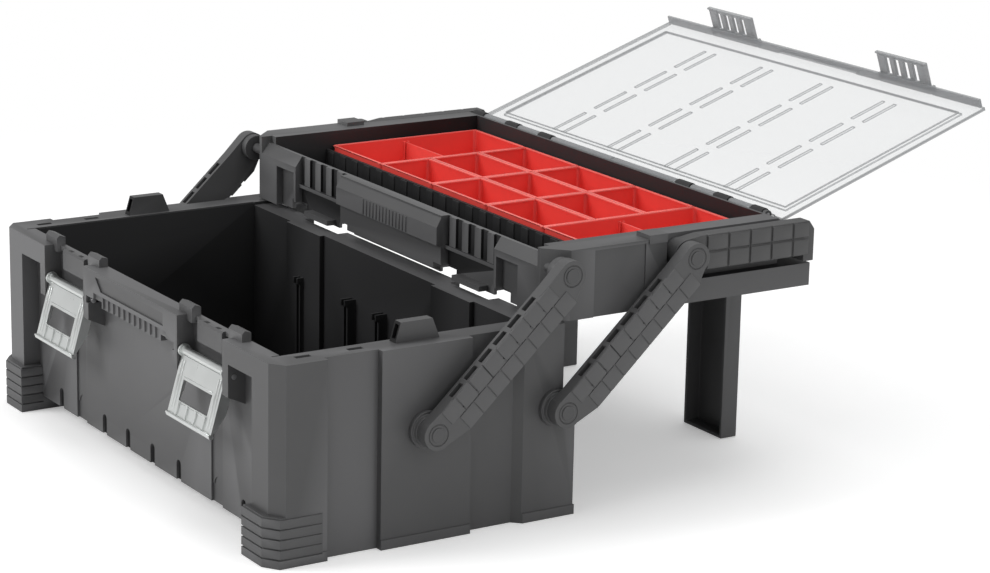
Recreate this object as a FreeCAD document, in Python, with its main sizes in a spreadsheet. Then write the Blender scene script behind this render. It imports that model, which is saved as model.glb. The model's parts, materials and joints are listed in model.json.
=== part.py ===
"""Cantilever tool box: a deep tub, and a tray of bins that swings back on four arms.

Millimetres. The origin is the centre of the tub on the floor, +X runs along the box,
+Y to the back and +Z up. The tray group is drawn above the tub, where it sits when the
box is shut, and each of its pieces is then moved back by the travel of the arms.
"""
import FreeCAD, Part
import math
import os
from types import SimpleNamespace

import Sketcher
from FreeCAD import Placement, Rotation, Vector

OUTPUT_FOLDER = "parts"
SHEET_NAME = "Sizes"

# Every driving size: name, value, what it is
DRIVING_SIZES = (
    ("wall", 3, "plastic wall of the tub and the tray"),
    ("fit", 0.3, "gap between pieces that seat in one another"),
    ("turning_fit", 0.06, "gap round a pivot pin"),
    ("body_half", 283.5, "half length of the tub and the tray"),
    ("tub_front", 150, "depth of the front pillars, from the centre"),
    ("tub_rear", 153, "depth of the rear wall's foot"),
    ("tub_rear_upper", 139.5, "depth of the rear wall below the rim"),
    ("rear_step_low", 105, "height where the rear wall leans in"),
    ("rear_step_high", 115, "height where the rear wall stands again"),
    ("tub_height", 180, "height of the tub's rim"),
    ("rear_rim_drop", 3, "how much lower the tub's rear rim is"),
    ("front_panel", 133, "depth of the set-back front panel"),
    ("basin_side", 30.5, "from the tub's outside to its basin, at the ends"),
    ("basin_rear", 113, "depth of the tub's inside to the back"),
    ("floor_gap", 14, "height of the tub's underside between the feet"),
    ("corner_run", 13.5, "length of a front corner's bevel along the box"),
    ("corner_depth", 10, "depth of a front corner's bevel"),
    ("pillar_width", 43.5, "width of a front pillar"),
    ("band_height", 20, "height of the band under the front rim"),
    ("foot_height", 45.5, "height of a front foot"),
    ("foot_proud", 6.5, "how far a foot stands in front of its pillar"),
    ("foot_width", 50.5, "width of a front foot"),
    ("foot_side", 105, "where a front foot ends along the side"),
    ("foot_groove", 1.3, "depth of the grooves round a foot"),
    ("skirt_height", 9, "height of the skirt"),
    ("skirt_proud", 1, "how far the skirt stands out"),
    ("side_recess", 7, "depth of the hollows in the tub's sides"),
    ("recess_front_start", 100, "front hollow: front end"),
    ("recess_front_end", 47, "front hollow: rear end"),
    ("recess_rear_start", 44, "rear hollow: front end"),
    ("recess_rear_end", 91, "rear hollow: rear end"),
    ("leg_slot_inner", 106, "slot for a leg: inner side"),
    ("leg_slot_outer", 174, "slot for a leg: outer side"),
    ("leg_slot_front", 128.5, "slot for a leg: how far back it starts"),
    ("latch_centre", 142, "middle of a latch from the centre"),
    ("latch_half", 42, "half width of a latch lever"),
    ("latch_side_gap", 1.5, "gap between a lever and its cheeks"),
    ("cheek_thickness", 11, "thickness of a latch cheek"),
    ("cheek_length", 58, "length of a latch cheek"),
    ("latch_pivot_depth", 144, "depth of the lever's axis"),
    ("latch_pivot_drop", 32, "lever's axis below the tub's rim"),
    ("latch_pin_radius", 2.5, "lever pin"),
    ("latch_barrel", 3.8, "radius of the rolled top of a lever"),
    ("latch_length", 58.5, "length of a lever"),
    ("latch_tilt", 16, "how far a hanging lever leans out, in degrees"),
    ("latch_sheet", 2, "metal of a lever"),
    ("latch_flange", 9, "depth of a lever's folded sides"),
    ("latch_window_start", 24, "lever window: nearest to the axis"),
    ("latch_window_end", 43, "lever window: farthest from the axis"),
    ("latch_window_half", 27.5, "lever window: half width"),
    ("ear_rise", 10, "height of a latch ear over the rim"),
    ("ear_half", 12.5, "half width of an ear"),
    ("lug_rise", 18, "height of a side lug over the rim"),
    ("groove_half", 11, "half width of the big notch below a latch"),
    ("groove_depth", 1.6, "depth of the groove above that notch"),
    ("notch_half", 4.5, "half width of a small notch under the front"),
    ("notch_top", 31, "height of the notches under the front"),
    ("notch_depth", 2.4, "depth of the notches under the front"),
    ("plate_drop", 13, "how far the centre plate hangs below the band"),
    ("arm_lower_front", -3, "front arms: depth of the lower axis"),
    ("arm_spacing", 134, "distance from the front to the rear axes"),
    ("arm_drop", 76, "lower axes of the arms below the tub's rim"),
    ("arm_half_swing", 135, "half of the tray's travel"),
    ("arm_rise", 125, "height of the upper axes over the lower ones"),
    ("arm_width", 42, "width of an arm"),
    ("arm_end_radius", 14, "radius of an arm's round end"),
    ("arm_stand_off", 9, "gap between the body and the arms"),
    ("arm_thickness", 13, "thickness of an arm"),
    ("arm_window_count", 6, "openings along an arm's upper edge"),
    ("pivot_radius", 5, "arm pin"),
    ("pivot_head_radius", 6.6, "head of an arm pin"),
    ("pivot_head_height", 0.9, "thickness of that head"),
    ("spacer_radius", 17, "spacer ring between an arm and the box"),
    ("tray_gap", 1.5, "gap between the tub's rim and the tray"),
    ("tray_rim_rise", 66, "tray's side rim over the tub's rim"),
    ("tray_front_rise", 59, "tray's front wall over the tub's rim"),
    ("tray_front", 137, "depth of the tray's front wall"),
    ("tray_boss_front", 145, "depth of the tray's outer bosses"),
    ("tray_centre_front", 150, "depth of the tray's centre boss"),
    ("tray_rear", 142, "depth of the tray's rear beam"),
    ("tray_floor_rise", 8, "tray's floor over the tub's rim"),
    ("tray_side", 32.5, "from the tray's outside to its inside, at the ends"),
    ("tray_corner", 19.5, "bevel of the tray's front corners"),
    ("beam_rise", 23, "rear beam over the tub's rim"),
    ("handle_bay_depth", 11.5, "depth of the handle's bay in the tray's side"),
    ("handle_bay_front", 22, "front end of the handle's bay, from the centre"),
    ("boss_start", 187, "where an outer boss starts"),
    ("boss_recess_side", 56.5, "from the tray's end to its boss recess"),
    ("centre_boss_half", 95, "half width of the centre boss"),
    ("basin_front_wall", 74, "front of the wall before the bins"),
    ("bin_rise", 51.8, "rims of the bins over the tub's rim"),
    ("bin_wall", 1.6, "wall of a bin"),
    ("divider_thickness", 1.8, "plate that halves a long bin"),
    ("bin_corner", 5, "outer corner radius of a bin"),
    ("bin_gap", 0.6, "gap between two bins"),
    ("bin_column", 100, "width of a column of small bins"),
    ("bin_set_in", 35.5, "from the tray's outside to the long bins"),
    ("bin_row_start", -68.1, "front edge of the bins"),
    ("bin_row", 58.4, "depth of a row of small bins"),
    ("leg_inner", 109, "inner side of a leg"),
    ("leg_outer", 171, "outer side of a leg"),
    ("leg_front", 132, "front of a leg"),
    ("leg_rear", 150.5, "back of a leg"),
    ("leg_wall", 3, "wall of a leg"),
    ("leg_floor_gap", 0.5, "gap under a leg"),
    ("hinge_depth", 117.6, "depth of the lid's axis"),
    ("hinge_rise", 64, "lid's axis over the tub's rim"),
    ("hinge_radius", 4, "outside of a lid knuckle"),
    ("hinge_pin_radius", 1.8, "lid hinge pin"),
    ("hinge_set_in", 39.5, "how much shorter the hinge is, at each end"),
    ("knuckle_half", 11.5, "half length of a dark knuckle"),
    ("lid_set_in", 21.5, "how much shorter the lid is, at each end"),
    ("lid_length", 260, "lid from its axis to its front edge"),
    ("lid_under", 3.2, "underside of the lid over its axis"),
    ("lid_sheet", 2.4, "thickness of the lid"),
    ("lid_raise", 2.2, "height of the lid's raised panel"),
    ("lid_border", 16, "border round the raised panel"),
    ("lid_open", 161, "how far the lid is open, in degrees"),
    ("lid_latch_half", 38.5, "half width of a lid latch"),
    ("lid_latch_length", 27, "length of a lid latch"),
    ("handle_set_in", 7.5, "how far the handle's sides start inside the body"),
    ("handle_stand_out", 7, "how far the handle's sides stand out"),
    ("handle_low_rise", 33, "lower edge of the handle's sides over the tub's rim"),
    ("handle_high_rise", 65.3, "upper edge of the handle's sides over the tub's rim"),
    ("bar_front", 128.5, "front of the handle's bar"),
    ("bar_rear", 140, "back of the handle's bar"),
    ("bar_low_rise", 27, "lower edge of the handle's bar over the tub's rim"),
    ("bar_high_rise", 56, "upper edge of the handle's bar over the tub's rim"),
)


# Sizes that follow another one: name, what it follows, the distance between them, its side
FOLLOWING_SIZES = (
    ("basin_half", "body_half", "basin_side", -1),
    ("pillar_inner", "body_half", "pillar_width", -1),
    ("foot_inner", "body_half", "foot_width", -1),
    ("tray_inner_half", "body_half", "tray_side", -1),
    ("handle_bay_inner", "body_half", "handle_bay_depth", -1),
    ("arm_inside", "body_half", "arm_stand_off", 1),
    ("handle_inside", "body_half", "handle_set_in", -1),
    ("handle_outside", "body_half", "handle_stand_out", 1),
    ("lid_half", "body_half", "lid_set_in", -1),
    ("hinge_half", "body_half", "hinge_set_in", -1),
    ("bin_end", "body_half", "bin_set_in", -1),
    ("rear_rim_height", "tub_height", "rear_rim_drop", -1),
    ("lug_top", "tub_height", "lug_rise", 1),
    ("ear_top", "tub_height", "ear_rise", 1),
    ("tray_bottom", "tub_height", "tray_gap", 1),
    ("tray_top", "tub_height", "tray_rim_rise", 1),
    ("tray_front_top", "tub_height", "tray_front_rise", 1),
    ("tray_floor", "tub_height", "tray_floor_rise", 1),
    ("beam_top", "tub_height", "beam_rise", 1),
    ("bin_top", "tub_height", "bin_rise", 1),
    ("hinge_height", "tub_height", "hinge_rise", 1),
    ("handle_low", "tub_height", "handle_low_rise", 1),
    ("handle_high", "tub_height", "handle_high_rise", 1),
    ("bar_low", "tub_height", "bar_low_rise", 1),
    ("bar_high", "tub_height", "bar_high_rise", 1),
    ("latch_pivot_height", "tub_height", "latch_pivot_drop", -1),
    ("cheek_bottom", "tub_height", "cheek_length", -1),
    ("arm_lower_height", "tub_height", "arm_drop", -1),
)


class Size:
    """A number that remembers the sheet expression it comes from."""

    def __init__(self, number, text=None):
        self.number = float(number)
        self.text = text if text else f"{self.number:.6f}"

    def joined(self, other, sign, number):
        return Size(number, f"({self.text} {sign} {size_of(other).text})")

    def __add__(self, other):
        return self.joined(other, "+", self.number + size_of(other).number)

    def __radd__(self, other):
        return size_of(other) + self

    def __sub__(self, other):
        return self.joined(other, "-", self.number - size_of(other).number)

    def __rsub__(self, other):
        return size_of(other) - self

    def __mul__(self, other):
        return self.joined(other, "*", self.number * size_of(other).number)

    def __rmul__(self, other):
        return size_of(other) * self

    def __truediv__(self, other):
        return self.joined(other, "/", self.number / size_of(other).number)

    def __neg__(self):
        return Size(-self.number, f"(-1 * {self.text})")

    def call(self, function, number):
        return Size(number, f"{function}({self.text})")


def size_of(value):
    """Turn a plain number into a Size; a Size stays as it is."""
    return value if isinstance(value, Size) else Size(value)


def root(value):
    return value.call("sqrt", math.sqrt(value.number))


def lean_angle(run, rise):
    """Angle from the vertical, in degrees, of a bar that covers run and rise."""
    ratio = run / rise
    return ratio.call("atan", math.degrees(math.atan(ratio.number)))


class ToolBoxDocument:
    """The parametric document: the sheet, the solids and the finished sub-parts."""

    PLANES = {
        "X": Rotation(Vector(1, 1, 1), 120),
        "Y": Rotation(Vector(1, 0, 0), 90),
        "Z": Rotation(),
    }
    AXES = {"X": Vector(1, 0, 0), "Y": Vector(0, 1, 0), "Z": Vector(0, 0, 1)}
    TURNS = {
        "X": Rotation(Vector(0, 1, 0), 90),
        "Y": Rotation(Vector(1, 0, 0), -90),
        "Z": Rotation(),
    }

    def __init__(self, name):
        self.doc = FreeCAD.newDocument(name)
        self.nodes = []
        self.sizes = self.make_sheet()

    def make_sheet(self):
        sheet = self.doc.addObject("Spreadsheet::Sheet", SHEET_NAME)
        sizes = {}
        for row, (alias, number, note) in enumerate(DRIVING_SIZES, start=1):
            sheet.set(f"A{row}", alias)
            sheet.set(f"B{row}", f"{number}")
            sheet.set(f"C{row}", note)
            sheet.setAlias(f"B{row}", alias)
            sizes[alias] = Size(number, f"{SHEET_NAME}.{alias}")
        for name, base, distance, side in FOLLOWING_SIZES:
            sign = sizes[distance] if side > 0 else -sizes[distance]
            sizes[name] = sizes[base] + sign
        self.doc.recompute()
        return SimpleNamespace(**sizes)

    def bind(self, item, path, value):
        """Bind one property of an object to the expression of a size."""
        item.setExpression(path, size_of(value).text)

    def place(self, item, base):
        for letter, value in zip("xyz", base):
            self.bind(item, f"Placement.Base.{letter}", value)

    def box(self, x, y, z):
        """A box between pairs of low and high sizes."""
        item = self.doc.addObject("Part::Box", "Box")
        for path, pair in zip(("Length", "Width", "Height"), (x, y, z)):
            self.bind(item, path, size_of(pair[1]) - pair[0])
        self.place(item, (x[0], y[0], z[0]))
        return item

    def rod(self, axis, centre, radius, span):
        """A cylinder along an axis; centre holds the two other coordinates in order."""
        item = self.doc.addObject("Part::Cylinder", "Rod")
        item.Placement = Placement(Vector(), self.TURNS[axis])
        self.bind(item, "Radius", radius)
        self.bind(item, "Height", size_of(span[1]) - span[0])
        base = list(centre)
        base.insert("XYZ".index(axis), span[0])
        self.place(item, base)
        return item

    def prism(self, axis, points, span):
        """A closed outline drawn square to an axis and pulled along it."""
        sketch = self.doc.addObject("Sketcher::SketchObject", "Outline")
        sketch.Placement = Placement(Vector(), self.PLANES[axis])
        points = [(size_of(a), size_of(b)) for a, b in points]
        corners = [Vector(a.number, b.number, 0) for a, b in points]
        for index, corner in enumerate(corners):
            following = corners[(index + 1) % len(corners)]
            sketch.addGeometry(Part.LineSegment(corner, following))
        for index in range(len(corners)):
            following = (index + 1) % len(corners)
            sketch.addConstraint(Sketcher.Constraint("Coincident", index, 2, following, 1))
        for index, (a, b) in enumerate(points):
            for kind, value in (("DistanceX", a), ("DistanceY", b)):
                constraint = Sketcher.Constraint(kind, -1, 1, index, 1, value.number)
                number = sketch.addConstraint(constraint)
                sketch.setExpression(f"Constraints[{number}]", value.text)
        base = [0, 0, 0]
        base["XYZ".index(axis)] = span[0]
        self.place(sketch, base)
        item = self.doc.addObject("Part::Extrusion", "Prism")
        item.Base = sketch
        item.DirMode = "Custom"
        item.Dir = self.AXES[axis]
        item.Solid = True
        self.bind(item, "LengthFwd", size_of(span[1]) - span[0])
        return item

    def mirrored(self, source):
        item = self.doc.addObject("Part::Mirroring", "Mirrored")
        item.Source = source
        item.Normal = Vector(1, 0, 0)
        return item

    def pair(self, source):
        """A solid and its mirror image about the middle of the box."""
        return [source, self.mirrored(source)]

    def fuse(self, solids, refine=False):
        if len(solids) == 1:
            return solids[0]
        item = self.doc.addObject("Part::MultiFuse", "Joined")
        item.Shapes = solids
        item.Refine = refine
        return item

    def cut(self, base, tools):
        item = self.doc.addObject("Part::Cut", "Shaped")
        item.Base = base
        item.Tool = self.fuse(tools)
        item.Refine = True
        return item

    def shift(self, item, base, turn_axis=None, turn=None):
        """Give a finished sub-part its own placement."""
        if turn is not None:
            item.Placement = Placement(Vector(), Rotation(turn_axis, turn.number))
            self.bind(item, "Placement.Rotation.Angle", turn)
        self.place(item, base)

    def keep(self, item, label):
        """Name a finished sub-part; the name is also the name of its file."""
        item.Label = label
        self.nodes.append(item)
        return item

    def export(self):
        """Recompute, check every object and write each sub-part."""
        self.doc.recompute()
        for item in self.doc.Objects:
            if {"Invalid", "Error"} & set(item.State):
                raise RuntimeError(f"{item.Label} ({item.Name}) did not build: {item.State}")
        os.makedirs(OUTPUT_FOLDER, exist_ok=True)
        for item in self.nodes:
            if item.Shape.isNull() or not item.Shape.isValid() or not item.Shape.Solids:
                raise RuntimeError(f"{item.Label} has no valid solid")
            item.Shape.exportStep(f"{OUTPUT_FOLDER}/{item.Label}.step")
            solids = len(item.Shape.Solids)
            print(f"{item.Label}: {solids} solid(s), {item.Shape.Volume / 1000:.1f} cm3")


class Tub:
    """The fixed lower box with its feet, latch stations and rear slots."""

    RIB_COUNT = 5
    REAR_RIBS = (-143, -47, 13, 66)
    FRONT_NOTCHES = (-189, -91, -40, 12, 66, 193)

    def __init__(self, book):
        self.book = book
        self.s = book.sizes

    def build(self):
        solids = self.shell() + self.front() + self.rim_features()
        body = self.book.fuse(solids)
        body = self.book.cut(body, self.hollows() + self.front_cuts() + self.side_cuts())
        body = self.book.fuse([body] + self.inner_ribs(), refine=True)
        body = self.book.cut(body, self.holes())
        return self.book.keep(body, "base_tub")

    def shell(self):
        s, book = self.s, self.book
        block = book.box((-s.body_half, s.body_half), (-s.front_panel, s.tub_rear), (0, s.tub_height))
        corner = [
            (s.pillar_inner, -s.front_panel),
            (s.pillar_inner, -s.tub_front),
            (s.body_half - s.corner_run, -s.tub_front),
            (s.body_half, s.corner_depth - s.tub_front),
            (s.body_half, -s.front_panel),
        ]
        pillars = book.pair(book.prism("Z", corner, (0, s.tub_height)))
        return [block] + pillars + self.feet() + self.skirt()

    def foot_outline(self, inset):
        s = self.s
        front = inset - s.tub_front - s.foot_proud
        side = s.body_half + s.skirt_proud - inset
        return [
            (s.foot_inner + inset, -s.front_panel),
            (s.foot_inner + inset, front),
            (s.body_half - s.corner_run, front),
            (side, s.corner_depth + front),
            (side, -s.foot_side),
            (s.pillar_inner, -s.foot_side),
            (s.pillar_inner, -s.front_panel),
        ]

    def feet(self):
        s, book = self.s, self.book
        solids = [book.prism("Z", self.foot_outline(s.foot_groove), (0, s.foot_height))]
        pitch = s.foot_height / self.RIB_COUNT
        for index in range(self.RIB_COUNT):
            low = pitch * index
            solids.append(
                book.prism("Z", self.foot_outline(0 * s.foot_groove), (low, low + pitch * 0.82))
            )
        return [solid for source in solids for solid in book.pair(source)]

    def skirt(self):
        s, book = self.s, self.book
        side = (s.body_half, s.body_half + s.skirt_proud)
        rear = (s.tub_rear, s.tub_rear + s.skirt_proud)
        strip = book.box(side, (-s.foot_side, s.tub_rear + s.skirt_proud), (0, s.skirt_height))
        across = book.box((s.leg_slot_outer, s.body_half + s.skirt_proud), rear, (0, s.skirt_height))
        middle = book.box((-s.leg_slot_inner, s.leg_slot_inner), rear, (0, s.skirt_height))
        return book.pair(strip) + book.pair(across) + [middle]

    def front(self):
        """The band under the rim, the latch cheeks, the catch rails and the centre plate."""
        s, book = self.s, self.book
        band_low = s.tub_height - s.band_height
        outer = s.latch_centre + s.latch_half + s.latch_side_gap
        inner = s.latch_centre - s.latch_half - s.latch_side_gap
        solids = []
        for start, end in ((inner - s.cheek_thickness, inner), (outer, outer + s.cheek_thickness)):
            profile = [
                (-s.front_panel, s.tub_height),
                (-s.tub_front, s.tub_height),
                (-s.tub_front, s.cheek_bottom + 8),
                (-s.front_panel, s.cheek_bottom),
            ]
            solids += book.pair(book.prism("X", profile, (start, end)))
        depth = (-s.tub_front, -s.front_panel)
        solids += book.pair(book.box((outer, s.pillar_inner), depth, (band_low, s.tub_height)))
        plate_low = band_low - s.plate_drop
        solids.append(book.box((-inner, inner), depth, (plate_low, s.tub_height)))
        rail_front = s.latch_barrel + s.turning_fit * 5 - s.latch_pivot_depth
        rail = [
            (-s.front_panel, band_low - 2),
            (rail_front, band_low),
            (rail_front, s.tub_height - 2),
            (rail_front + 1.5, s.tub_height),
            (-s.front_panel, s.tub_height),
        ]
        solids += book.pair(book.prism("X", rail, (inner + 20, outer - 20)))
        rim = book.box(
            (inner, outer), (-s.front_panel - 3, -s.front_panel), (s.tub_height - 4, s.tub_height)
        )
        return solids + book.pair(rim)

    def rim_features(self):
        """Ears beside the latches and a guide lug on each side rim."""
        s, book = self.s, self.book
        solids = []
        for centre in (s.latch_centre - s.latch_half - 4, s.latch_centre + s.latch_half + 7):
            profile = [
                (-140, s.tub_height - 6),
                (-140, s.ear_top - 3),
                (-137, s.ear_top),
                (-131, s.ear_top - 2),
                (-131, s.tub_height - 6),
            ]
            span = (centre - s.ear_half, centre + s.ear_half)
            solids += book.pair(book.prism("X", profile, span))
        lug = [(-26, s.tub_height - 2), (-20, s.lug_top), (12, s.lug_top), (20, s.tub_height - 2)]
        solids += book.pair(book.prism("X", lug, (s.body_half - 25.5, s.body_half - 15.5)))
        return solids

    def hollows(self):
        """The inside of the tub and the space inside its double walls, open below."""
        s, book = self.s, self.book
        floor = s.floor_gap + s.wall
        roof = s.tub_height - s.wall
        basin = book.box(
            (-s.basin_half, s.basin_half),
            (s.wall - s.front_panel, s.basin_rear),
            (floor, s.ear_top + 5),
        )
        skin = s.body_half - s.side_recess - s.wall
        inner = s.basin_half + s.wall
        rear_inner = s.basin_rear + s.wall
        rear_outer = s.tub_rear_upper - s.wall
        tools = [basin]
        under = book.box(
            (-s.foot_inner, s.foot_inner),
            (-s.front_panel - 30, s.tub_rear - s.wall),
            (-1, s.floor_gap),
        )
        tools.append(under)
        tools += book.pair(book.box((inner, skin), (s.wall - s.front_panel, rear_outer), (-1, roof)))
        tools += book.pair(
            book.box(
                (skin - 1, skin + s.side_recess),
                (-s.recess_front_end + s.wall, s.recess_rear_start - s.wall),
                (-1, roof),
            )
        )
        tools += book.pair(
            book.box(
                (s.pillar_inner + s.wall, skin - 12),
                (-s.tub_front + s.wall, -s.front_panel),
                (-1, roof),
            )
        )
        slot_gap = s.wall * 2
        bay = (rear_inner, rear_outer)
        outer_bay = (s.leg_slot_outer + slot_gap, s.basin_half)
        tools += book.pair(book.box(outer_bay, bay, (-1, s.rear_rim_height - s.wall)))
        middle_bay = (slot_gap - s.leg_slot_inner, s.leg_slot_inner - slot_gap)
        tools.append(book.box(middle_bay, bay, (-1, s.rear_rim_height - s.wall)))
        return tools

    def front_cuts(self):
        """Grooves and notches of the front panel, ribs under the centre plate."""
        s, book = self.s, self.book
        tools = []
        groove = (s.latch_centre - s.groove_half, s.latch_centre + s.groove_half)
        front = -s.front_panel
        deep = front + s.notch_depth
        tools += book.pair(
            book.box(
                groove, (front - 1, front + s.groove_depth), (s.floor_gap, s.cheek_bottom + 20)
            )
        )
        tools += book.pair(book.box(groove, (front - 1, deep), (s.floor_gap - 1, s.notch_top)))
        tools += book.pair(
            book.rod("Y", (s.latch_centre, s.notch_top), s.groove_half - 3, (front - 1, deep))
        )
        for centre in self.FRONT_NOTCHES:
            span = (centre - s.notch_half, centre + s.notch_half)
            tools.append(book.box(span, (front - 1, deep), (s.floor_gap - 1, s.notch_top - 2)))
            tools.append(book.rod("Y", (centre, s.notch_top - 2), s.notch_half, (front - 1, deep)))
        plate_low = s.tub_height - s.band_height - s.plate_drop
        strip_top = plate_low + 12
        face = -s.tub_front
        tools.append(book.box((-76, 76), (face - 1, face + 2), (plate_low - 1, strip_top)))
        panel = [
            (-60, strip_top + 4),
            (70, strip_top + 4),
            (70, s.tub_height - 5),
            (-72, s.tub_height - 5),
        ]
        tools.append(book.prism("Y", panel, (face - 1, face + 1.6)))
        tools += book.pair(book.box((62, 92), (face - 1, -s.front_panel), (plate_low - 1, plate_low + 6)))
        return tools

    def side_cuts(self):
        """Hollows in the sides, the lean of the rear wall and the slots for the legs."""
        s, book = self.s, self.book
        inside = s.body_half - s.side_recess
        outside = s.body_half + 20
        high = s.tub_height + 1
        tools = book.pair(
            book.box(
                (inside, s.body_half + 0.01),
                (-s.recess_front_start, -s.recess_front_end),
                (-1, high),
            )
        )
        tools += book.pair(
            book.box(
                (inside + 1, outside),
                (-s.recess_front_start, -s.recess_front_end),
                (-1, s.skirt_height),
            )
        )
        rear = [
            (inside, s.recess_rear_start),
            (outside, s.recess_rear_start),
            (outside, s.recess_rear_end + (outside - inside)),
            (inside, s.recess_rear_end),
        ]
        tools += book.pair(book.prism("Z", rear, (-1, high)))
        lean = [
            (s.tub_rear_upper, s.rear_step_high),
            (s.tub_rear + 20, s.rear_step_low - 9),
            (s.tub_rear + 20, high),
            (s.tub_rear_upper, high),
        ]
        tools.append(book.prism("X", lean, (-s.body_half - 5, s.body_half + 5)))
        slot = (s.leg_slot_inner, s.leg_slot_outer)
        tools += book.pair(book.box(slot, (s.leg_slot_front, s.tub_rear + 5), (-1, high)))
        tools.append(
            book.box(
                (-s.basin_half, s.basin_half),
                (s.basin_rear - 1, s.tub_rear),
                (s.rear_rim_height, high),
            )
        )
        for start in (-122, -71):
            slot = (s.body_half - 21.5, s.body_half - 15.5)
            tools += book.pair(book.box(slot, (start, start + 15), (s.tub_height - 6, high)))
        hollow = (s.body_half - 23.5, s.body_half - 17.5)
        tools += book.pair(book.box(hollow, (-30, -3), (s.tub_height + 3, s.lug_top - 2.5)))
        tools += book.pair(
            book.box(
                (inside - 24, inside - 22),
                (-s.tub_front + 12, s.basin_rear),
                (s.tub_height - 1.2, high),
            )
        )
        return tools

    def inner_ribs(self):
        """Bulges before the leg slots and pairs of divider ribs on the rear wall."""
        s, book = self.s, self.book
        floor = s.floor_gap
        bulge = book.box(
            (s.leg_slot_inner, s.leg_slot_outer),
            (s.basin_rear - 5, s.basin_rear + 1),
            (floor, s.rear_rim_height),
        )
        ribs = book.pair(bulge)
        for place in self.REAR_RIBS:
            back = s.basin_rear - 4 if abs(place) > s.leg_slot_inner.number else s.basin_rear + 1
            for offset in (-5, 2):
                span = (place + offset, place + offset + 2.5)
                ribs.append(book.box(span, (s.basin_rear - 9, back), (floor, 124)))
                ribs.append(book.box(span, (s.basin_rear - 12, back), (121, 127)))
        plate_low = s.tub_height - s.band_height - s.plate_drop
        for index in range(11):
            start = -58 + 11 * index
            span = (start, start + 2)
            ribs.append(
                book.box(
                    span, (0.4 - s.tub_front, 3 - s.tub_front), (plate_low + 1, plate_low + 11.5)
                )
            )
        return ribs

    def holes(self):
        """Bores for the arm pins and the latch pins."""
        s, book = self.s, self.book
        tools = []
        for row in range(2):
            centre = (s.arm_lower_front + s.arm_spacing * row, s.arm_lower_height)
            hole = book.rod("X", centre, s.pivot_radius, (s.basin_half + s.wall, s.body_half + 5))
            tools += book.pair(hole)
        centre = (-s.latch_pivot_depth, s.latch_pivot_height)
        reach = s.latch_half + s.latch_side_gap + s.cheek_thickness + 1
        span = (s.latch_centre - reach, s.latch_centre + reach)
        tools += book.pair(book.rod("X", centre, s.latch_pin_radius, span))
        return tools


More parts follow.
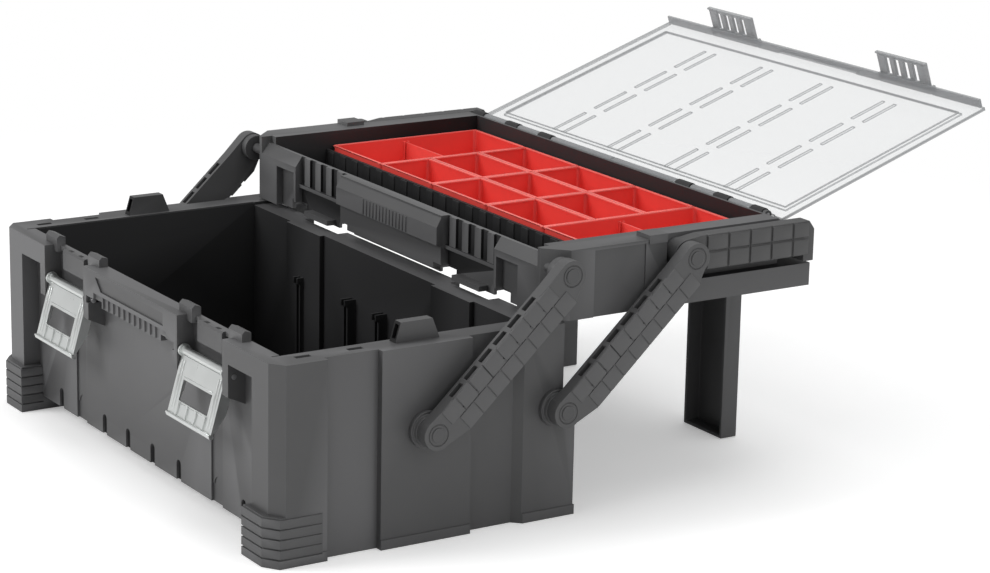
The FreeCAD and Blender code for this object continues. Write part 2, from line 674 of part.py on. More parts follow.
class Arms:
    """Four arms, their pins and the spacer rings that hold them off the box."""

    def __init__(self, book):
        self.book = book
        self.s = book.sizes
        self.length = root(
            self.s.arm_half_swing * self.s.arm_half_swing + self.s.arm_rise * self.s.arm_rise
        )
        self.lean = lean_angle(self.s.arm_half_swing, self.s.arm_rise)

    def build(self):
        s = self.s
        for side, sign in (("right", 1), ("left", -1)):
            for row, place in enumerate(("front", "rear")):
                arm = self.arm(sign)
                base = (sign * s.arm_inside, s.arm_lower_front + s.arm_spacing * row, s.arm_lower_height)
                self.book.shift(arm, base, Vector(1, 0, 0), -self.lean)
                self.book.keep(arm, f"arm_{place}_{side}")
        travel = s.arm_half_swing * 2
        lower = self.pins(s.arm_lower_front, s.arm_lower_height, s.basin_half + s.wall)
        self.book.keep(lower, "lower_pivot_pins")
        closed_front = s.arm_lower_front - s.arm_half_swing
        upper_height = s.arm_lower_height + s.arm_rise
        upper = self.pins(closed_front, upper_height, s.tray_inner_half + s.wall)
        self.book.shift(upper, (0, travel, 0))
        self.book.keep(upper, "upper_pivot_pins")
        self.book.keep(self.spacers(s.arm_lower_front, s.arm_lower_height), "lower_spacers")

    def arm(self, sign):
        """One arm along +Z from its lower axis, with its inner face at x = 0."""
        s, book = self.s, self.book
        span = (0, s.arm_thickness) if sign > 0 else (-s.arm_thickness, 0)
        half = s.arm_width / 2
        neck = s.arm_end_radius
        outline = [
            (-half + 8, neck * 1.2),
            (-neck, 0),
            (neck, 0),
            (half, neck * 1.7),
            (half, self.length - neck * 1.2),
            (neck, self.length),
            (-neck, self.length),
            (-half + 8, self.length - neck * 1.7),
        ]
        solids = [book.prism("X", outline, span)]
        for height in (0 * self.length, self.length):
            solids.append(book.rod("X", (0, height), neck, span))
        start = neck * 2.3
        pitch = (self.length - start - start) / s.arm_window_count
        slots = []
        third = s.arm_thickness / 4
        low = span[0] + third
        windows = int(s.arm_window_count.number)
        for index in range(windows):
            along = start + pitch * index
            slots.append(book.box((low, low + third * 2), (-half, 0), (along, along + pitch - 5)))
        face = s.arm_thickness * sign
        depth = (face - 0.8, face + 0.1) if sign > 0 else (face - 0.1, face + 0.8)
        for index in range(windows + 1):
            along = start + pitch * index - 2.5
            slots.append(book.box(depth, (-half, half + 1), (along, along + 1.6)))
            slots.append(book.box(span, (half - 1.5, half + 1), (along - 1.5, along + 3)))
        slots.append(book.box(depth, (-1, 0.6), (start, self.length - start)))
        for height in (0 * self.length, self.length):
            slots.append(
                book.rod(
                    "X", (0, height), s.pivot_radius + s.turning_fit, (span[0] - 1, span[1] + 1)
                )
            )
            outer = book.rod("X", (0, height), s.pivot_head_radius + 3.4, depth)
            inner = book.rod("X", (0, height), s.pivot_head_radius + 2.4, (depth[0] - 1, depth[1] + 1))
            slots.append(book.cut(outer, [inner]))
        return book.cut(book.fuse(solids), slots)

    def pins(self, front, height, inner):
        """Four headed pins on one pair of axes, front and rear, both sides."""
        s, book = self.s, self.book
        outer = s.arm_inside + s.arm_thickness
        solids = []
        for row in range(2):
            centre = (front + s.arm_spacing * row, height)
            shaft = book.rod("X", centre, s.pivot_radius, (inner, outer + s.fit + s.pivot_head_height))
            span = (outer + s.fit, outer + s.fit + s.pivot_head_height)
            head = book.rod("X", centre, s.pivot_head_radius, span)
            solids += book.pair(book.fuse([shaft, head]))
        return book.fuse(solids)

    def spacers(self, front, height):
        """Rings between the arms and the tub: one broad, one narrower."""
        s, book = self.s, self.book
        solids = []
        middle = (s.body_half + s.arm_inside) / 2
        for row in range(2):
            centre = (front + s.arm_spacing * row, height)
            broad = book.rod("X", centre, s.spacer_radius, (s.body_half, middle))
            narrow = book.rod("X", centre, s.spacer_radius - 2.5, (middle, s.arm_inside - s.fit))
            bore = book.rod("X", centre, s.pivot_radius, (s.body_half - 1, s.arm_inside))
            solids += book.pair(book.cut(book.fuse([broad, narrow]), [bore]))
        return book.fuse(solids)


class Tray:
    """The upper tray on the arms, with its rear beam, bosses and knuckles."""

    KNUCKLES = (-256, -191, -127.5, 117, 179, 237.5)
    PATTERN_HALF = 283.5

    def __init__(self, book):
        self.book = book
        self.s = book.sizes
        self.travel = self.s.arm_half_swing * 2
        self.front_axis = self.s.arm_lower_front - self.s.arm_half_swing
        self.axis_height = self.s.arm_lower_height + self.s.arm_rise

    def build(self):
        solids = self.shell() + self.front()
        body = self.book.cut(self.book.fuse(solids), self.hollows() + self.notches())
        body = self.book.fuse([body] + self.inner_walls() + self.knuckles(), refine=True)
        body = self.book.cut(body, self.holes())
        self.book.shift(body, (0, self.travel, 0))
        self.book.keep(body, "tray_body")
        self.legs()

    def shell(self):
        s, book = self.s, self.book
        span = (s.tray_bottom, s.tray_top)
        outline = [
            (s.tray_corner - s.body_half, -s.tray_boss_front),
            (s.body_half - s.tray_corner, -s.tray_boss_front),
            (s.body_half, s.tray_corner - s.tray_boss_front),
            (s.body_half, s.tray_rear),
            (-s.body_half, s.tray_rear),
            (-s.body_half, s.tray_corner - s.tray_boss_front),
        ]
        solids = [book.prism("Z", outline, span)]
        tab = book.box(
            (s.tray_inner_half + 12.5, s.body_half + 1),
            (-42, -s.handle_bay_front),
            (s.tray_top - 4, s.tray_top + 4),
        )
        return solids + book.pair(tab)

    def front(self):
        """The ribbed centre boss, in front of the front wall."""
        s, book = self.s, self.book
        profile = [
            (-s.tray_front, s.tray_bottom + 5),
            (-s.tray_boss_front + 2, s.tray_bottom + 5),
            (-s.tray_boss_front + 2, s.beam_top + 6),
            (-s.tray_centre_front, s.beam_top + 8),
            (-s.tray_centre_front, s.beam_top + 25),
            (-s.tray_boss_front, s.beam_top + 34),
            (-s.tray_front, s.tray_front_top),
        ]
        return [book.prism("X", profile, (-s.centre_boss_half, s.centre_boss_half))]

    def hollows(self):
        s, book = self.s, self.book
        roof = s.tray_top - s.wall
        low = s.tray_bottom - 1
        high = s.tray_top + 6
        inner = s.tray_inner_half
        hinge_wall = s.hinge_depth - s.hinge_radius - 1
        tools = [
            book.box(
                (-inner, inner), (s.wall - s.tray_front, hinge_wall - s.wall), (s.tray_floor, high)
            )
        ]
        under = (s.tray_floor - s.wall)
        tools.append(
            book.box((-inner, inner), (s.wall - s.tray_front, s.tray_rear - s.wall), (low, under))
        )
        tools.append(
            book.box(
                (-inner - 1, inner + 1),
                (hinge_wall + s.wall, s.tray_rear - s.wall),
                (low, s.beam_top - s.wall),
            )
        )
        bay = s.handle_bay_inner
        bay_front = -s.handle_bay_front
        side = inner + s.wall
        tools += book.pair(
            book.box((side, s.body_half - s.wall), (-115, bay_front - s.wall), (low, roof))
        )
        tools += book.pair(
            book.box(
                (side, bay - s.wall), (bay_front - s.wall - 1, hinge_wall - s.wall), (low, roof)
            )
        )
        tools += book.pair(
            book.box(
                (side, s.body_half - s.wall),
                (bay_front - s.wall - 1, s.tray_rear - s.wall),
                (low, s.beam_top - s.wall),
            )
        )
        tools += book.pair(
            book.box((bay, s.body_half + 2), (bay_front, s.tray_rear + 1), (s.beam_top, high))
        )
        tools.append(
            book.box((-s.body_half, s.body_half), (hinge_wall, s.tray_rear + 1), (s.beam_top, high))
        )
        return tools

    def notches(self):
        """Set-back latch stations, boss recesses, side panel and the ears' notches."""
        s, book = self.s, self.book
        low = s.tray_bottom - 1
        high = s.tray_top + 6
        outside = -s.tray_boss_front - 1
        station = (s.centre_boss_half, s.boss_start)
        wide = s.body_half - s.tray_corner - 5
        tools = book.pair(book.box(station, (outside, -s.tray_front), (low, high)))
        gap = (-s.centre_boss_half, s.centre_boss_half)
        tools.append(book.box(gap, (outside, -s.tray_front), (low, s.tray_bottom + 5)))
        tools.append(
            book.box(
                (-wide, wide),
                (-s.tray_centre_front - 1, s.wall - s.tray_front + 1),
                (s.tray_front_top, high),
            )
        )
        cap = [
            (-s.tray_front - 0.5, s.tray_front_top + 0.01),
            (-s.tray_boss_front - 1, s.beam_top + 24),
            (-s.tray_boss_front - 2, s.tray_top + 4),
            (-s.tray_front - 0.5, s.tray_top + 4),
        ]
        tools += book.pair(book.prism("X", cap, (s.boss_start - 1, wide)))
        recess = book.box(
            (s.boss_start + 4, s.body_half - s.boss_recess_side),
            (outside, -s.tray_front - 1),
            (low, s.beam_top + 19),
        )
        tools += book.pair(recess)
        tools += book.pair(
            book.box((s.body_half - 1.4, s.body_half + 1), (-100, -45), (low, s.tray_top - 3))
        )
        for centre in (s.latch_centre - s.latch_half - 4, s.latch_centre + s.latch_half + 7):
            reach = s.ear_half + 2
            span = (centre - reach, centre + reach)
            tools += book.pair(book.box(span, (-s.tray_centre_front - 1, -127), (low, s.ear_top + 2)))
        return tools

    def inner_walls(self):
        """The wall before the bins, the latch catches and the ribs of the front."""
        s, book = self.s, self.book
        inner = (-s.tray_inner_half - 0.5, s.tray_inner_half + 0.5)
        wall = (-s.basin_front_wall, -s.basin_front_wall + s.wall)
        solids = [book.box(inner, wall, (s.tray_floor - 1, s.bin_top - 4))]
        catch = book.box(
            (s.latch_centre - 24, s.latch_centre + 24),
            (-147, -s.tray_front + 0.5),
            (s.tray_bottom + 1.5, s.tray_floor),
        )
        ledge = book.box(
            (s.centre_boss_half - 0.5, s.boss_start + 0.5),
            (-141, -s.tray_front + 0.5),
            (s.beam_top + 4.5, s.beam_top + 8),
        )
        for source in (catch, ledge):
            solids += book.pair(source)
        for index in range(4):
            start = s.centre_boss_half + 6 + 22 * index
            rib = book.box(
                (start, start + 11),
                (-139.5, -s.tray_front + 0.5),
                (s.beam_top + 7, s.tray_front_top),
            )
            solids += book.pair(rib)
        for index in range(14):
            start = -42 + 6.2 * index
            front = -s.tray_centre_front
            rib = (s.beam_top + 9, s.beam_top + 24)
            solids.append(book.box((start, start + 1.4), (front - 0.8, front + 0.5), rib))
        return solids

    @classmethod
    def knuckle_centres(cls, sizes):
        """Where the knuckles stand, in proportion to the length of the box."""
        return [sizes.body_half * place / cls.PATTERN_HALF for place in cls.KNUCKLES]

    def knuckles(self):
        """Dark hinge knuckles on the rear wall."""
        s, book = self.s, self.book
        solids = []
        for centre in self.knuckle_centres(s):
            span = (centre - s.knuckle_half, centre + s.knuckle_half)
            solids.append(book.rod("X", (s.hinge_depth, s.hinge_height), s.hinge_radius, span))
            support = [
                (s.hinge_depth - s.hinge_radius - 1.5, s.hinge_height - 8),
                (s.hinge_depth, s.hinge_height - s.hinge_radius + 0.3),
                (s.hinge_depth, s.hinge_height),
                (s.hinge_depth - s.hinge_radius - 1.5, s.hinge_height),
            ]
            solids.append(book.prism("X", support, span))
        return solids

    def holes(self):
        s, book = self.s, self.book
        tools = []
        for row in range(2):
            centre = (self.front_axis + s.arm_spacing * row, self.axis_height)
            span = (s.tray_inner_half + s.wall, s.body_half + 5)
            tools += book.pair(book.rod("X", centre, s.pivot_radius, span))
        reach = s.hinge_half + 30
        tools.append(book.rod("X", (s.hinge_depth, s.hinge_height), s.hinge_pin_radius, (-reach, reach)))
        return tools

    def legs(self):
        """Two stays under the rear beam, each a channel open to the front."""
        s, book = self.s, self.book
        top = s.beam_top - s.wall
        for side, sign in (("right", 1), ("left", -1)):
            across = (s.leg_inner, s.leg_outer) if sign > 0 else (-s.leg_outer, -s.leg_inner)
            shoulder = book.box(
                across,
                (s.leg_front, s.tray_rear - s.wall - s.fit),
                (s.tray_bottom - 31.5, top),
            )
            shaft = book.box(across, (s.leg_front, s.leg_rear), (s.leg_floor_gap, s.tray_bottom - 1))
            inside = (across[0] + s.leg_wall, across[1] - s.leg_wall)
            channel = (s.leg_front - 1, s.leg_rear - s.leg_wall)
            hollow = book.box(inside, channel, (s.leg_floor_gap + s.leg_wall, s.tray_bottom - 20))
            leg = book.cut(book.fuse([shoulder, shaft]), [hollow])
            book.shift(leg, (0, self.travel, 0))
            book.keep(leg, f"support_leg_{side}")


class TraySpacers:
    """Rings between the arms and the tray; the rear pair carries the handle."""

    def __init__(self, book):
        self.book = book
        self.s = book.sizes

    def build(self):
        s, book = self.s, self.book
        front = s.arm_lower_front - s.arm_half_swing
        height = s.arm_lower_height + s.arm_rise
        solids = []
        centre = (front, height)
        ring = book.rod("X", centre, s.arm_end_radius - 1, (s.body_half, s.arm_inside - s.fit))
        bore = book.rod("X", centre, s.pivot_radius, (s.body_half - 1, s.arm_inside))
        solids += book.pair(book.cut(ring, [bore]))
        centre = (front + s.arm_spacing, height)
        ring = book.rod("X", centre, s.arm_end_radius - 1, (s.handle_bay_inner, s.handle_inside - s.fit))
        bore = book.rod("X", centre, s.pivot_radius, (s.handle_bay_inner - 1, s.arm_inside))
        solids += book.pair(book.cut(ring, [bore]))
        rings = book.fuse(solids)
        book.shift(rings, (0, s.arm_half_swing * 2, 0))
        book.keep(rings, "upper_spacers")


class Bins:
    """Nine small bins and two long ones with a divider each."""

    ROWS = 3
    COLUMNS = 3

    def __init__(self, book):
        self.book = book
        self.s = book.sizes
        self.floor = self.s.tray_floor + self.s.fit
        self.travel = self.s.arm_half_swing * 2

    def build(self):
        s = self.s
        width = s.bin_column - s.bin_gap
        depth = s.bin_row - s.bin_gap
        for row in range(self.ROWS):
            for column in range(self.COLUMNS):
                item = self.bin(width, depth)
                x = s.bin_column * (column - 1) - width / 2
                y = s.bin_row_start + s.bin_row * row + self.travel
                self.book.shift(item, (x, y, self.floor))
                self.book.keep(item, f"bin_small_{row * self.COLUMNS + column + 1}")
        long_depth = s.bin_row * self.ROWS - s.bin_gap
        long_width = s.bin_end - s.bin_column * 1.5 - s.bin_gap
        for side, sign in (("right", 1), ("left", -1)):
            item = self.bin(long_width, long_depth, slots=True)
            start = s.bin_column * 1.5 + s.bin_gap / 2
            x = start if sign > 0 else -start - long_width
            place = (x, s.bin_row_start + self.travel, self.floor)
            self.book.shift(item, place)
            self.book.keep(item, f"bin_long_{side}")
            edge = s.bin_wall + s.fit
            divider = self.divider(long_width - edge * 2, edge)
            middle = s.bin_row_start + long_depth / 2 + self.travel
            self.book.shift(divider, (x + edge, middle - s.divider_thickness / 2, self.floor + edge))
            self.book.keep(divider, f"bin_divider_{side}")

    def rounded(self, low, high, z):
        """A box with rounded upright edges."""
        s, book = self.s, self.book
        radius = s.bin_corner - low[0]
        (x0, y0), (x1, y1) = low, high
        solids = [
            book.box((x0 + radius, x1 - radius), (y0, y1), z),
            book.box((x0, x1), (y0 + radius, y1 - radius), z),
        ]
        for x in (x0 + radius, x1 - radius):
            for y in (y0 + radius, y1 - radius):
                solids.append(book.rod("Z", (x, y), radius, z))
        return book.fuse(solids, refine=True)

    def bin(self, width, depth, slots=False):
        s, book = self.s, self.book
        height = s.bin_top - self.floor
        nothing = 0 * width
        outer = self.rounded((nothing, nothing), (width, depth), (0, height))
        wall = s.bin_wall
        inner = self.rounded((wall, wall), (width - wall, depth - wall), (wall, height + 1))
        shaped = book.cut(outer, [inner])
        if not slots:
            return shaped
        ribs = []
        middle = depth / 2
        for x in ((wall - 0.2, wall + 1.6), (width - wall - 1.6, width - wall + 0.2)):
            for y in (middle - 3.2, middle + 1.4):
                ribs.append(book.box(x, (y, y + 1.8), (wall - 0.2, height - 4)))
        return book.fuse([shaped] + ribs, refine=True)

    def divider(self, width, edge):
        """A plate that drops between two pairs of ribs."""
        s, book = self.s, self.book
        height = s.bin_top - self.floor - edge - 5
        return book.box((0, width), (0, s.divider_thickness), (0, height))


class Lid:
    """The clear lid with its barrels, pins and two front latches."""

    DASHES = 4
    COLUMNS = (-150, -50, 50, 150)

    def __init__(self, book):
        self.book = book
        self.s = book.sizes
        travel = self.s.arm_half_swing * 2
        self.axis = (0, self.s.hinge_depth + travel, self.s.hinge_height)

    def build(self):
        s, book = self.s, self.book
        top = s.lid_under + s.lid_sheet
        back = -s.hinge_radius - 1.5
        front = -s.lid_length
        half = s.lid_half
        plates = [book.box((-half, half), (front, back), (s.lid_under, top))]
        plates.append(book.box((3.5 - half, half - 3.5), (front, front + 2.4), (-5, top)))
        plates.append(book.box((-half, half), (front, front + 2.4), (s.lid_under, top)))
        plates += book.pair(book.box((half - 2.4, half), (front, back), (s.lid_under, top + 1)))
        plates.append(book.box((-65, 65), (front - 5, front + 1), (s.lid_under, top)))
        border = s.lid_border
        panel = ((border - half, half - border), (front + border, back - border))
        plates.append(book.box(panel[0], panel[1], (top, top + s.lid_raise)))
        inset = 6
        under = book.box(
            (panel[0][0] + 2, panel[0][1] - 2),
            (panel[1][0] + 2, panel[1][1] - 2),
            (0, s.lid_under + s.lid_raise),
        )
        body = book.cut(book.fuse(plates), [under] + self.knuckle_gaps(back))
        ribs = []
        pitch = (s.lid_length - border * 2 - inset * 2) / self.DASHES
        for column in self.COLUMNS:
            for side in (-9, 9):
                for index in range(self.DASHES):
                    y = front + border + inset + pitch * index + 6
                    ribs.append(
                        book.box(
                            (column + side - 2, column + side + 2),
                            (y, y + pitch - 12),
                            (top + 1, top + s.lid_raise + 1.4),
                        )
                    )
        reach = s.knuckle_half + 0.5
        centres = Tray.knuckle_centres(s)
        for left, right in zip(centres, centres[1:]):
            start, end = left + reach, right - reach
            ribs.append(book.rod("X", (0, 0), s.hinge_radius, (start, end)))
            tongue = [
                (back - 1, s.lid_under),
                (-s.hinge_radius + 0.4, 1.6),
                (0, s.hinge_radius - 0.4),
                (back - 1, top),
            ]
            ribs.append(book.prism("X", tongue, (start, end)))
        for centre in (-s.latch_centre, s.latch_centre):
            for offset in (-s.lid_latch_half - 3.5, s.lid_latch_half + 0.5):
                x = (centre + offset, centre + offset + 3)
                ribs.append(book.box(x, (front - 6, front + 1), (-2.5, top)))
        body = book.fuse([body] + ribs, refine=True)
        bores = [
            book.rod(
                "X",
                (0, 0),
                s.hinge_pin_radius + s.turning_fit,
                (-s.hinge_half - 24, s.hinge_half + 24),
            )
        ]
        reach = s.lid_latch_half + 5
        for centre in (-s.latch_centre, s.latch_centre):
            bores.append(book.rod("X", (front - 3, 1), 1.5, (centre - reach, centre + reach)))
        body = book.cut(body, bores)
        self.finish(body, "lid")
        self.latches(front)
        ends = (-s.hinge_half - 23, s.hinge_half + 5)
        pins = book.rod("X", (s.hinge_depth, s.hinge_height), s.hinge_pin_radius, ends)
        book.shift(pins, (ends[0], s.hinge_depth + s.arm_half_swing * 2, s.hinge_height))
        book.keep(pins, "lid_hinge_pin")

    def finish(self, item, label):
        self.book.shift(item, self.axis, Vector(1, 0, 0), -self.s.lid_open)
        self.book.keep(item, label)

    def knuckle_gaps(self, back):
        s, book = self.s, self.book
        gaps = []
        for centre in Tray.knuckle_centres(s):
            reach = s.knuckle_half + 0.5
            gaps.append(
                book.box(
                    (centre - reach, centre + reach), (back - 1.5, back + 1), (-1, s.lid_under + 9)
                )
            )
        return gaps

    def gap_starts(self, centre, half):
        """Where each of the four openings between a latch's ribs starts."""
        return [centre - half + 12 + index * 14 for index in range(4)]

    def latches(self, front):
        """Two ribbed flaps on the front edge and the pins they turn on."""
        s, book = self.s, self.book
        pins = []
        for side, sign in (("right", 1), ("left", -1)):
            centre = sign * s.latch_centre
            half = s.lid_latch_half
            span = (centre - half, centre + half)
            barrel = book.rod("X", (front - 3, 1), 2.7, span)
            plate = book.box(span, (front - 4.5, front - 2.5), (-s.lid_latch_length, 1))
            solids = [barrel, plate]
            for index in range(5):
                x = centre - half + 8 + index * 14
                solids.append(
                    book.box((x, x + 3), (front - 6.3, front - 4), (4 - s.lid_latch_length, -3))
                )
            hook = book.box(span, (front - 3, front - 0.8), (-s.lid_latch_length, 2 - s.lid_latch_length))
            gaps = [
                book.box((x, x + 7), (front - 8, front - 1.5), (5 - s.lid_latch_length, -4))
                for x in self.gap_starts(centre, half)
            ]
            flap = book.cut(book.fuse(solids + [hook]), gaps)
            bore = book.rod(
                "X", (front - 3, 1), 1.5 + s.turning_fit, (centre - half - 1, centre + half + 1)
            )
            self.finish(book.cut(flap, [bore]), f"lid_latch_{side}")
            reach = half + 3
            pins.append(book.rod("X", (front - 3, 1), 1.5, (centre - reach, centre + reach)))
        self.finish(book.fuse(pins), "lid_latch_pins")


class Handle:
    """The carrying bail, folded back behind the tray."""

    GROOVES = 5

    def __init__(self, book):
        self.book = book
        self.s = book.sizes

    def build(self):
        s, book = self.s, self.book
        front = s.arm_lower_front - s.arm_half_swing + s.arm_spacing
        height = s.arm_lower_height + s.arm_rise
        span = (s.handle_inside, s.handle_outside)
        middle = (s.handle_low + s.handle_high) / 2
        profile = [
            (front, height - s.arm_end_radius),
            (front + 24, s.handle_low),
            (s.bar_rear, s.handle_low),
            (s.bar_rear, s.handle_high - 8),
            (s.bar_rear - 6, s.handle_high),
            (front + 16, s.handle_high),
            (front, height + s.arm_end_radius),
        ]
        side = book.fuse(
            [book.prism("X", profile, span), book.rod("X", (front, height), s.arm_end_radius, span)]
        )
        pitch = 24.5
        cuts = []
        for index in range(self.GROOVES):
            y = front + 20 + pitch * index
            cuts.append(
                book.box(
                    (s.handle_outside - 1, s.handle_outside + 1),
                    (y, y + 2),
                    (s.handle_low - 1, s.handle_high + 1),
                )
            )
        cuts.append(
            book.box(
                (s.handle_outside - 0.8, s.handle_outside + 1),
                (front + 20, s.bar_rear),
                (middle, middle + 1.2),
            )
        )
        cuts.append(
            book.rod(
                "X",
                (front, height),
                s.pivot_radius + s.turning_fit,
                (s.handle_inside - 1, s.handle_outside + 1),
            )
        )
        sides = book.pair(book.cut(side, cuts))
        bar = [
            (s.bar_front, s.bar_low),
            (s.bar_rear, s.bar_low),
            (s.bar_rear, s.bar_high - 3),
            (s.bar_rear - 3, s.bar_high),
            (s.bar_front + 2, s.bar_high),
            (s.bar_front, s.bar_high - 2),
        ]
        rail = book.prism("X", bar, (-s.handle_outside, s.handle_outside))
        body = book.fuse(sides + [rail], refine=True)
        book.shift(body, (0, s.arm_half_swing * 2, 0))
        book.keep(body, "carry_handle")


class Latches:
    """Sheet-metal levers that hang on the front of the tub, and their pins."""

    def __init__(self, book):
        self.book = book
        self.s = book.sizes

    def build(self):
        s, book = self.s, self.book
        pins = []
        for side, sign in (("right", 1), ("left", -1)):
            lever = self.lever()
            base = (sign * s.latch_centre, -s.latch_pivot_depth, s.latch_pivot_height)
            book.shift(lever, base, Vector(1, 0, 0), -s.latch_tilt)
            book.keep(lever, f"latch_lever_{side}")
            reach = s.latch_half + s.latch_side_gap + s.cheek_thickness
            centre = (-s.latch_pivot_depth, s.latch_pivot_height)
            span = (sign * s.latch_centre - reach, sign * s.latch_centre + reach)
            pins.append(book.rod("X", centre, s.latch_pin_radius, span))
        book.keep(book.fuse(pins), "latch_pins")

    def lever(self):
        """One lever hanging straight down from its axis at the origin."""
        s, book = self.s, self.book
        half = s.latch_half
        sheet = (-s.latch_sheet / 2, s.latch_sheet / 2)
        low = -s.latch_length
        solids = [book.box((-half, half), sheet, (low, -4))]
        ear = [
            (-s.latch_sheet / 2, -5),
            (-s.latch_sheet / 2, 3),
            (s.latch_flange - 3, 3),
            (s.latch_flange, -6),
            (s.latch_flange, low + 22),
            (2, low + 4),
            (-s.latch_sheet / 2, low + 4),
        ]
        for span in ((-half, -half + s.latch_sheet), (half - s.latch_sheet, half)):
            solids.append(book.prism("X", ear, span))
            solids.append(book.rod("X", (0, 0), 6, span))
        solids.append(book.rod("X", (0, low), 2.2, (-half, half)))
        solids.append(book.rod("X", (0, 0), s.latch_barrel, (-half, half)))
        for index in range(4):
            x = -27 + 17 * index
            solids.append(
                book.box(
                    (x, x + 3), (-s.latch_sheet / 2 - 1.2, 0), (low + 3, -s.latch_window_end - 1)
                )
            )
        window = book.box(
            (-s.latch_window_half, s.latch_window_half),
            (-5, 5),
            (-s.latch_window_end, -s.latch_window_start),
        )
        bore = book.rod("X", (0, 0), s.latch_pin_radius + s.turning_fit, (-half - 1, half + 1))
        return book.cut(book.fuse(solids), [window, bore])


def main():
    book = ToolBoxDocument("CantileverToolBox")
    for group in (Tub, Arms, Tray, TraySpacers, Bins, Lid, Handle, Latches):
        group(book).build()
    book.export()


main()
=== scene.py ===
"""Looks of the cantilever tool box: finishes, rounded edges, small details, studio and camera."""
from __future__ import annotations

import json
import logging
import math
from dataclasses import dataclass, field
from enum import Enum

import bpy
from mathutils import Matrix, Vector

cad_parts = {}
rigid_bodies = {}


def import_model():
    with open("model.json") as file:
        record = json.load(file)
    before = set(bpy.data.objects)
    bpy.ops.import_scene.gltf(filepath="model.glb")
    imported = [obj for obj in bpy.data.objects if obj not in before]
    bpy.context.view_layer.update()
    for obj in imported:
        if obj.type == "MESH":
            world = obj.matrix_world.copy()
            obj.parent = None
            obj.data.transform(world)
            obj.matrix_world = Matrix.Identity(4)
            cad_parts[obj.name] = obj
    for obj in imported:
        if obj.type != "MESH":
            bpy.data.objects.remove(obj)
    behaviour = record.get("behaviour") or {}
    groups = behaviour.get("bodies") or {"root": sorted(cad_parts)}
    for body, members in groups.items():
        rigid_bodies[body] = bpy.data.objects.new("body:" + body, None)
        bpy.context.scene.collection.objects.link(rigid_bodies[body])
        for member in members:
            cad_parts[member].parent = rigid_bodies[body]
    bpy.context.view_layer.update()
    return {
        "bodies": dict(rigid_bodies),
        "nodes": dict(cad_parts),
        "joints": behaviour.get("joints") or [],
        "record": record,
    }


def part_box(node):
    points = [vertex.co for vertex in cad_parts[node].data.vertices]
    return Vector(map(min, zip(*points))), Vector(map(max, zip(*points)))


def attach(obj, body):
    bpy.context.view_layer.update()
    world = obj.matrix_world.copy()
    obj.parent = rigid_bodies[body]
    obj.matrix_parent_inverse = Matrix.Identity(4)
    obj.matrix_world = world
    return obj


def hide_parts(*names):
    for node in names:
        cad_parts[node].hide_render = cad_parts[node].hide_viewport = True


LOG = logging.getLogger("tool_box")
MM = 0.001
Point = tuple[float, float, float]
LID_OPEN = math.radians(161.0)
FLAT_AREA = 25.0 * MM * MM


class Slot(Enum):
    """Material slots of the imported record."""

    BODY = "body_plastic"
    ARM = "arm_plastic"
    HANDLE = "handle_plastic"
    BIN = "bin_plastic"
    CLEAR = "clear_plastic"
    LATCH = "latch_steel"
    PIN = "pin_steel"


class NodeTools:
    """Small helpers for building shader node trees."""

    @staticmethod
    def add(tree: bpy.types.NodeTree, kind: str, **values: object) -> bpy.types.Node:
        """Add a node and set its plain properties.

        Args:
            tree: Tree that receives the node.
            kind: Type name of the node.
            values: Properties to set on it.

        Returns:
            The new node.
        """
        node = tree.nodes.new(kind)
        for name, value in values.items():
            setattr(node, name, value)
        return node

    @staticmethod
    def link(
        tree: bpy.types.NodeTree, source: bpy.types.NodeSocket, target: bpy.types.NodeSocket
    ) -> None:
        """Join two sockets.

        Args:
            tree: Tree that holds both nodes.
            source: Output socket.
            target: Input socket.
        """
        tree.links.new(source, target)


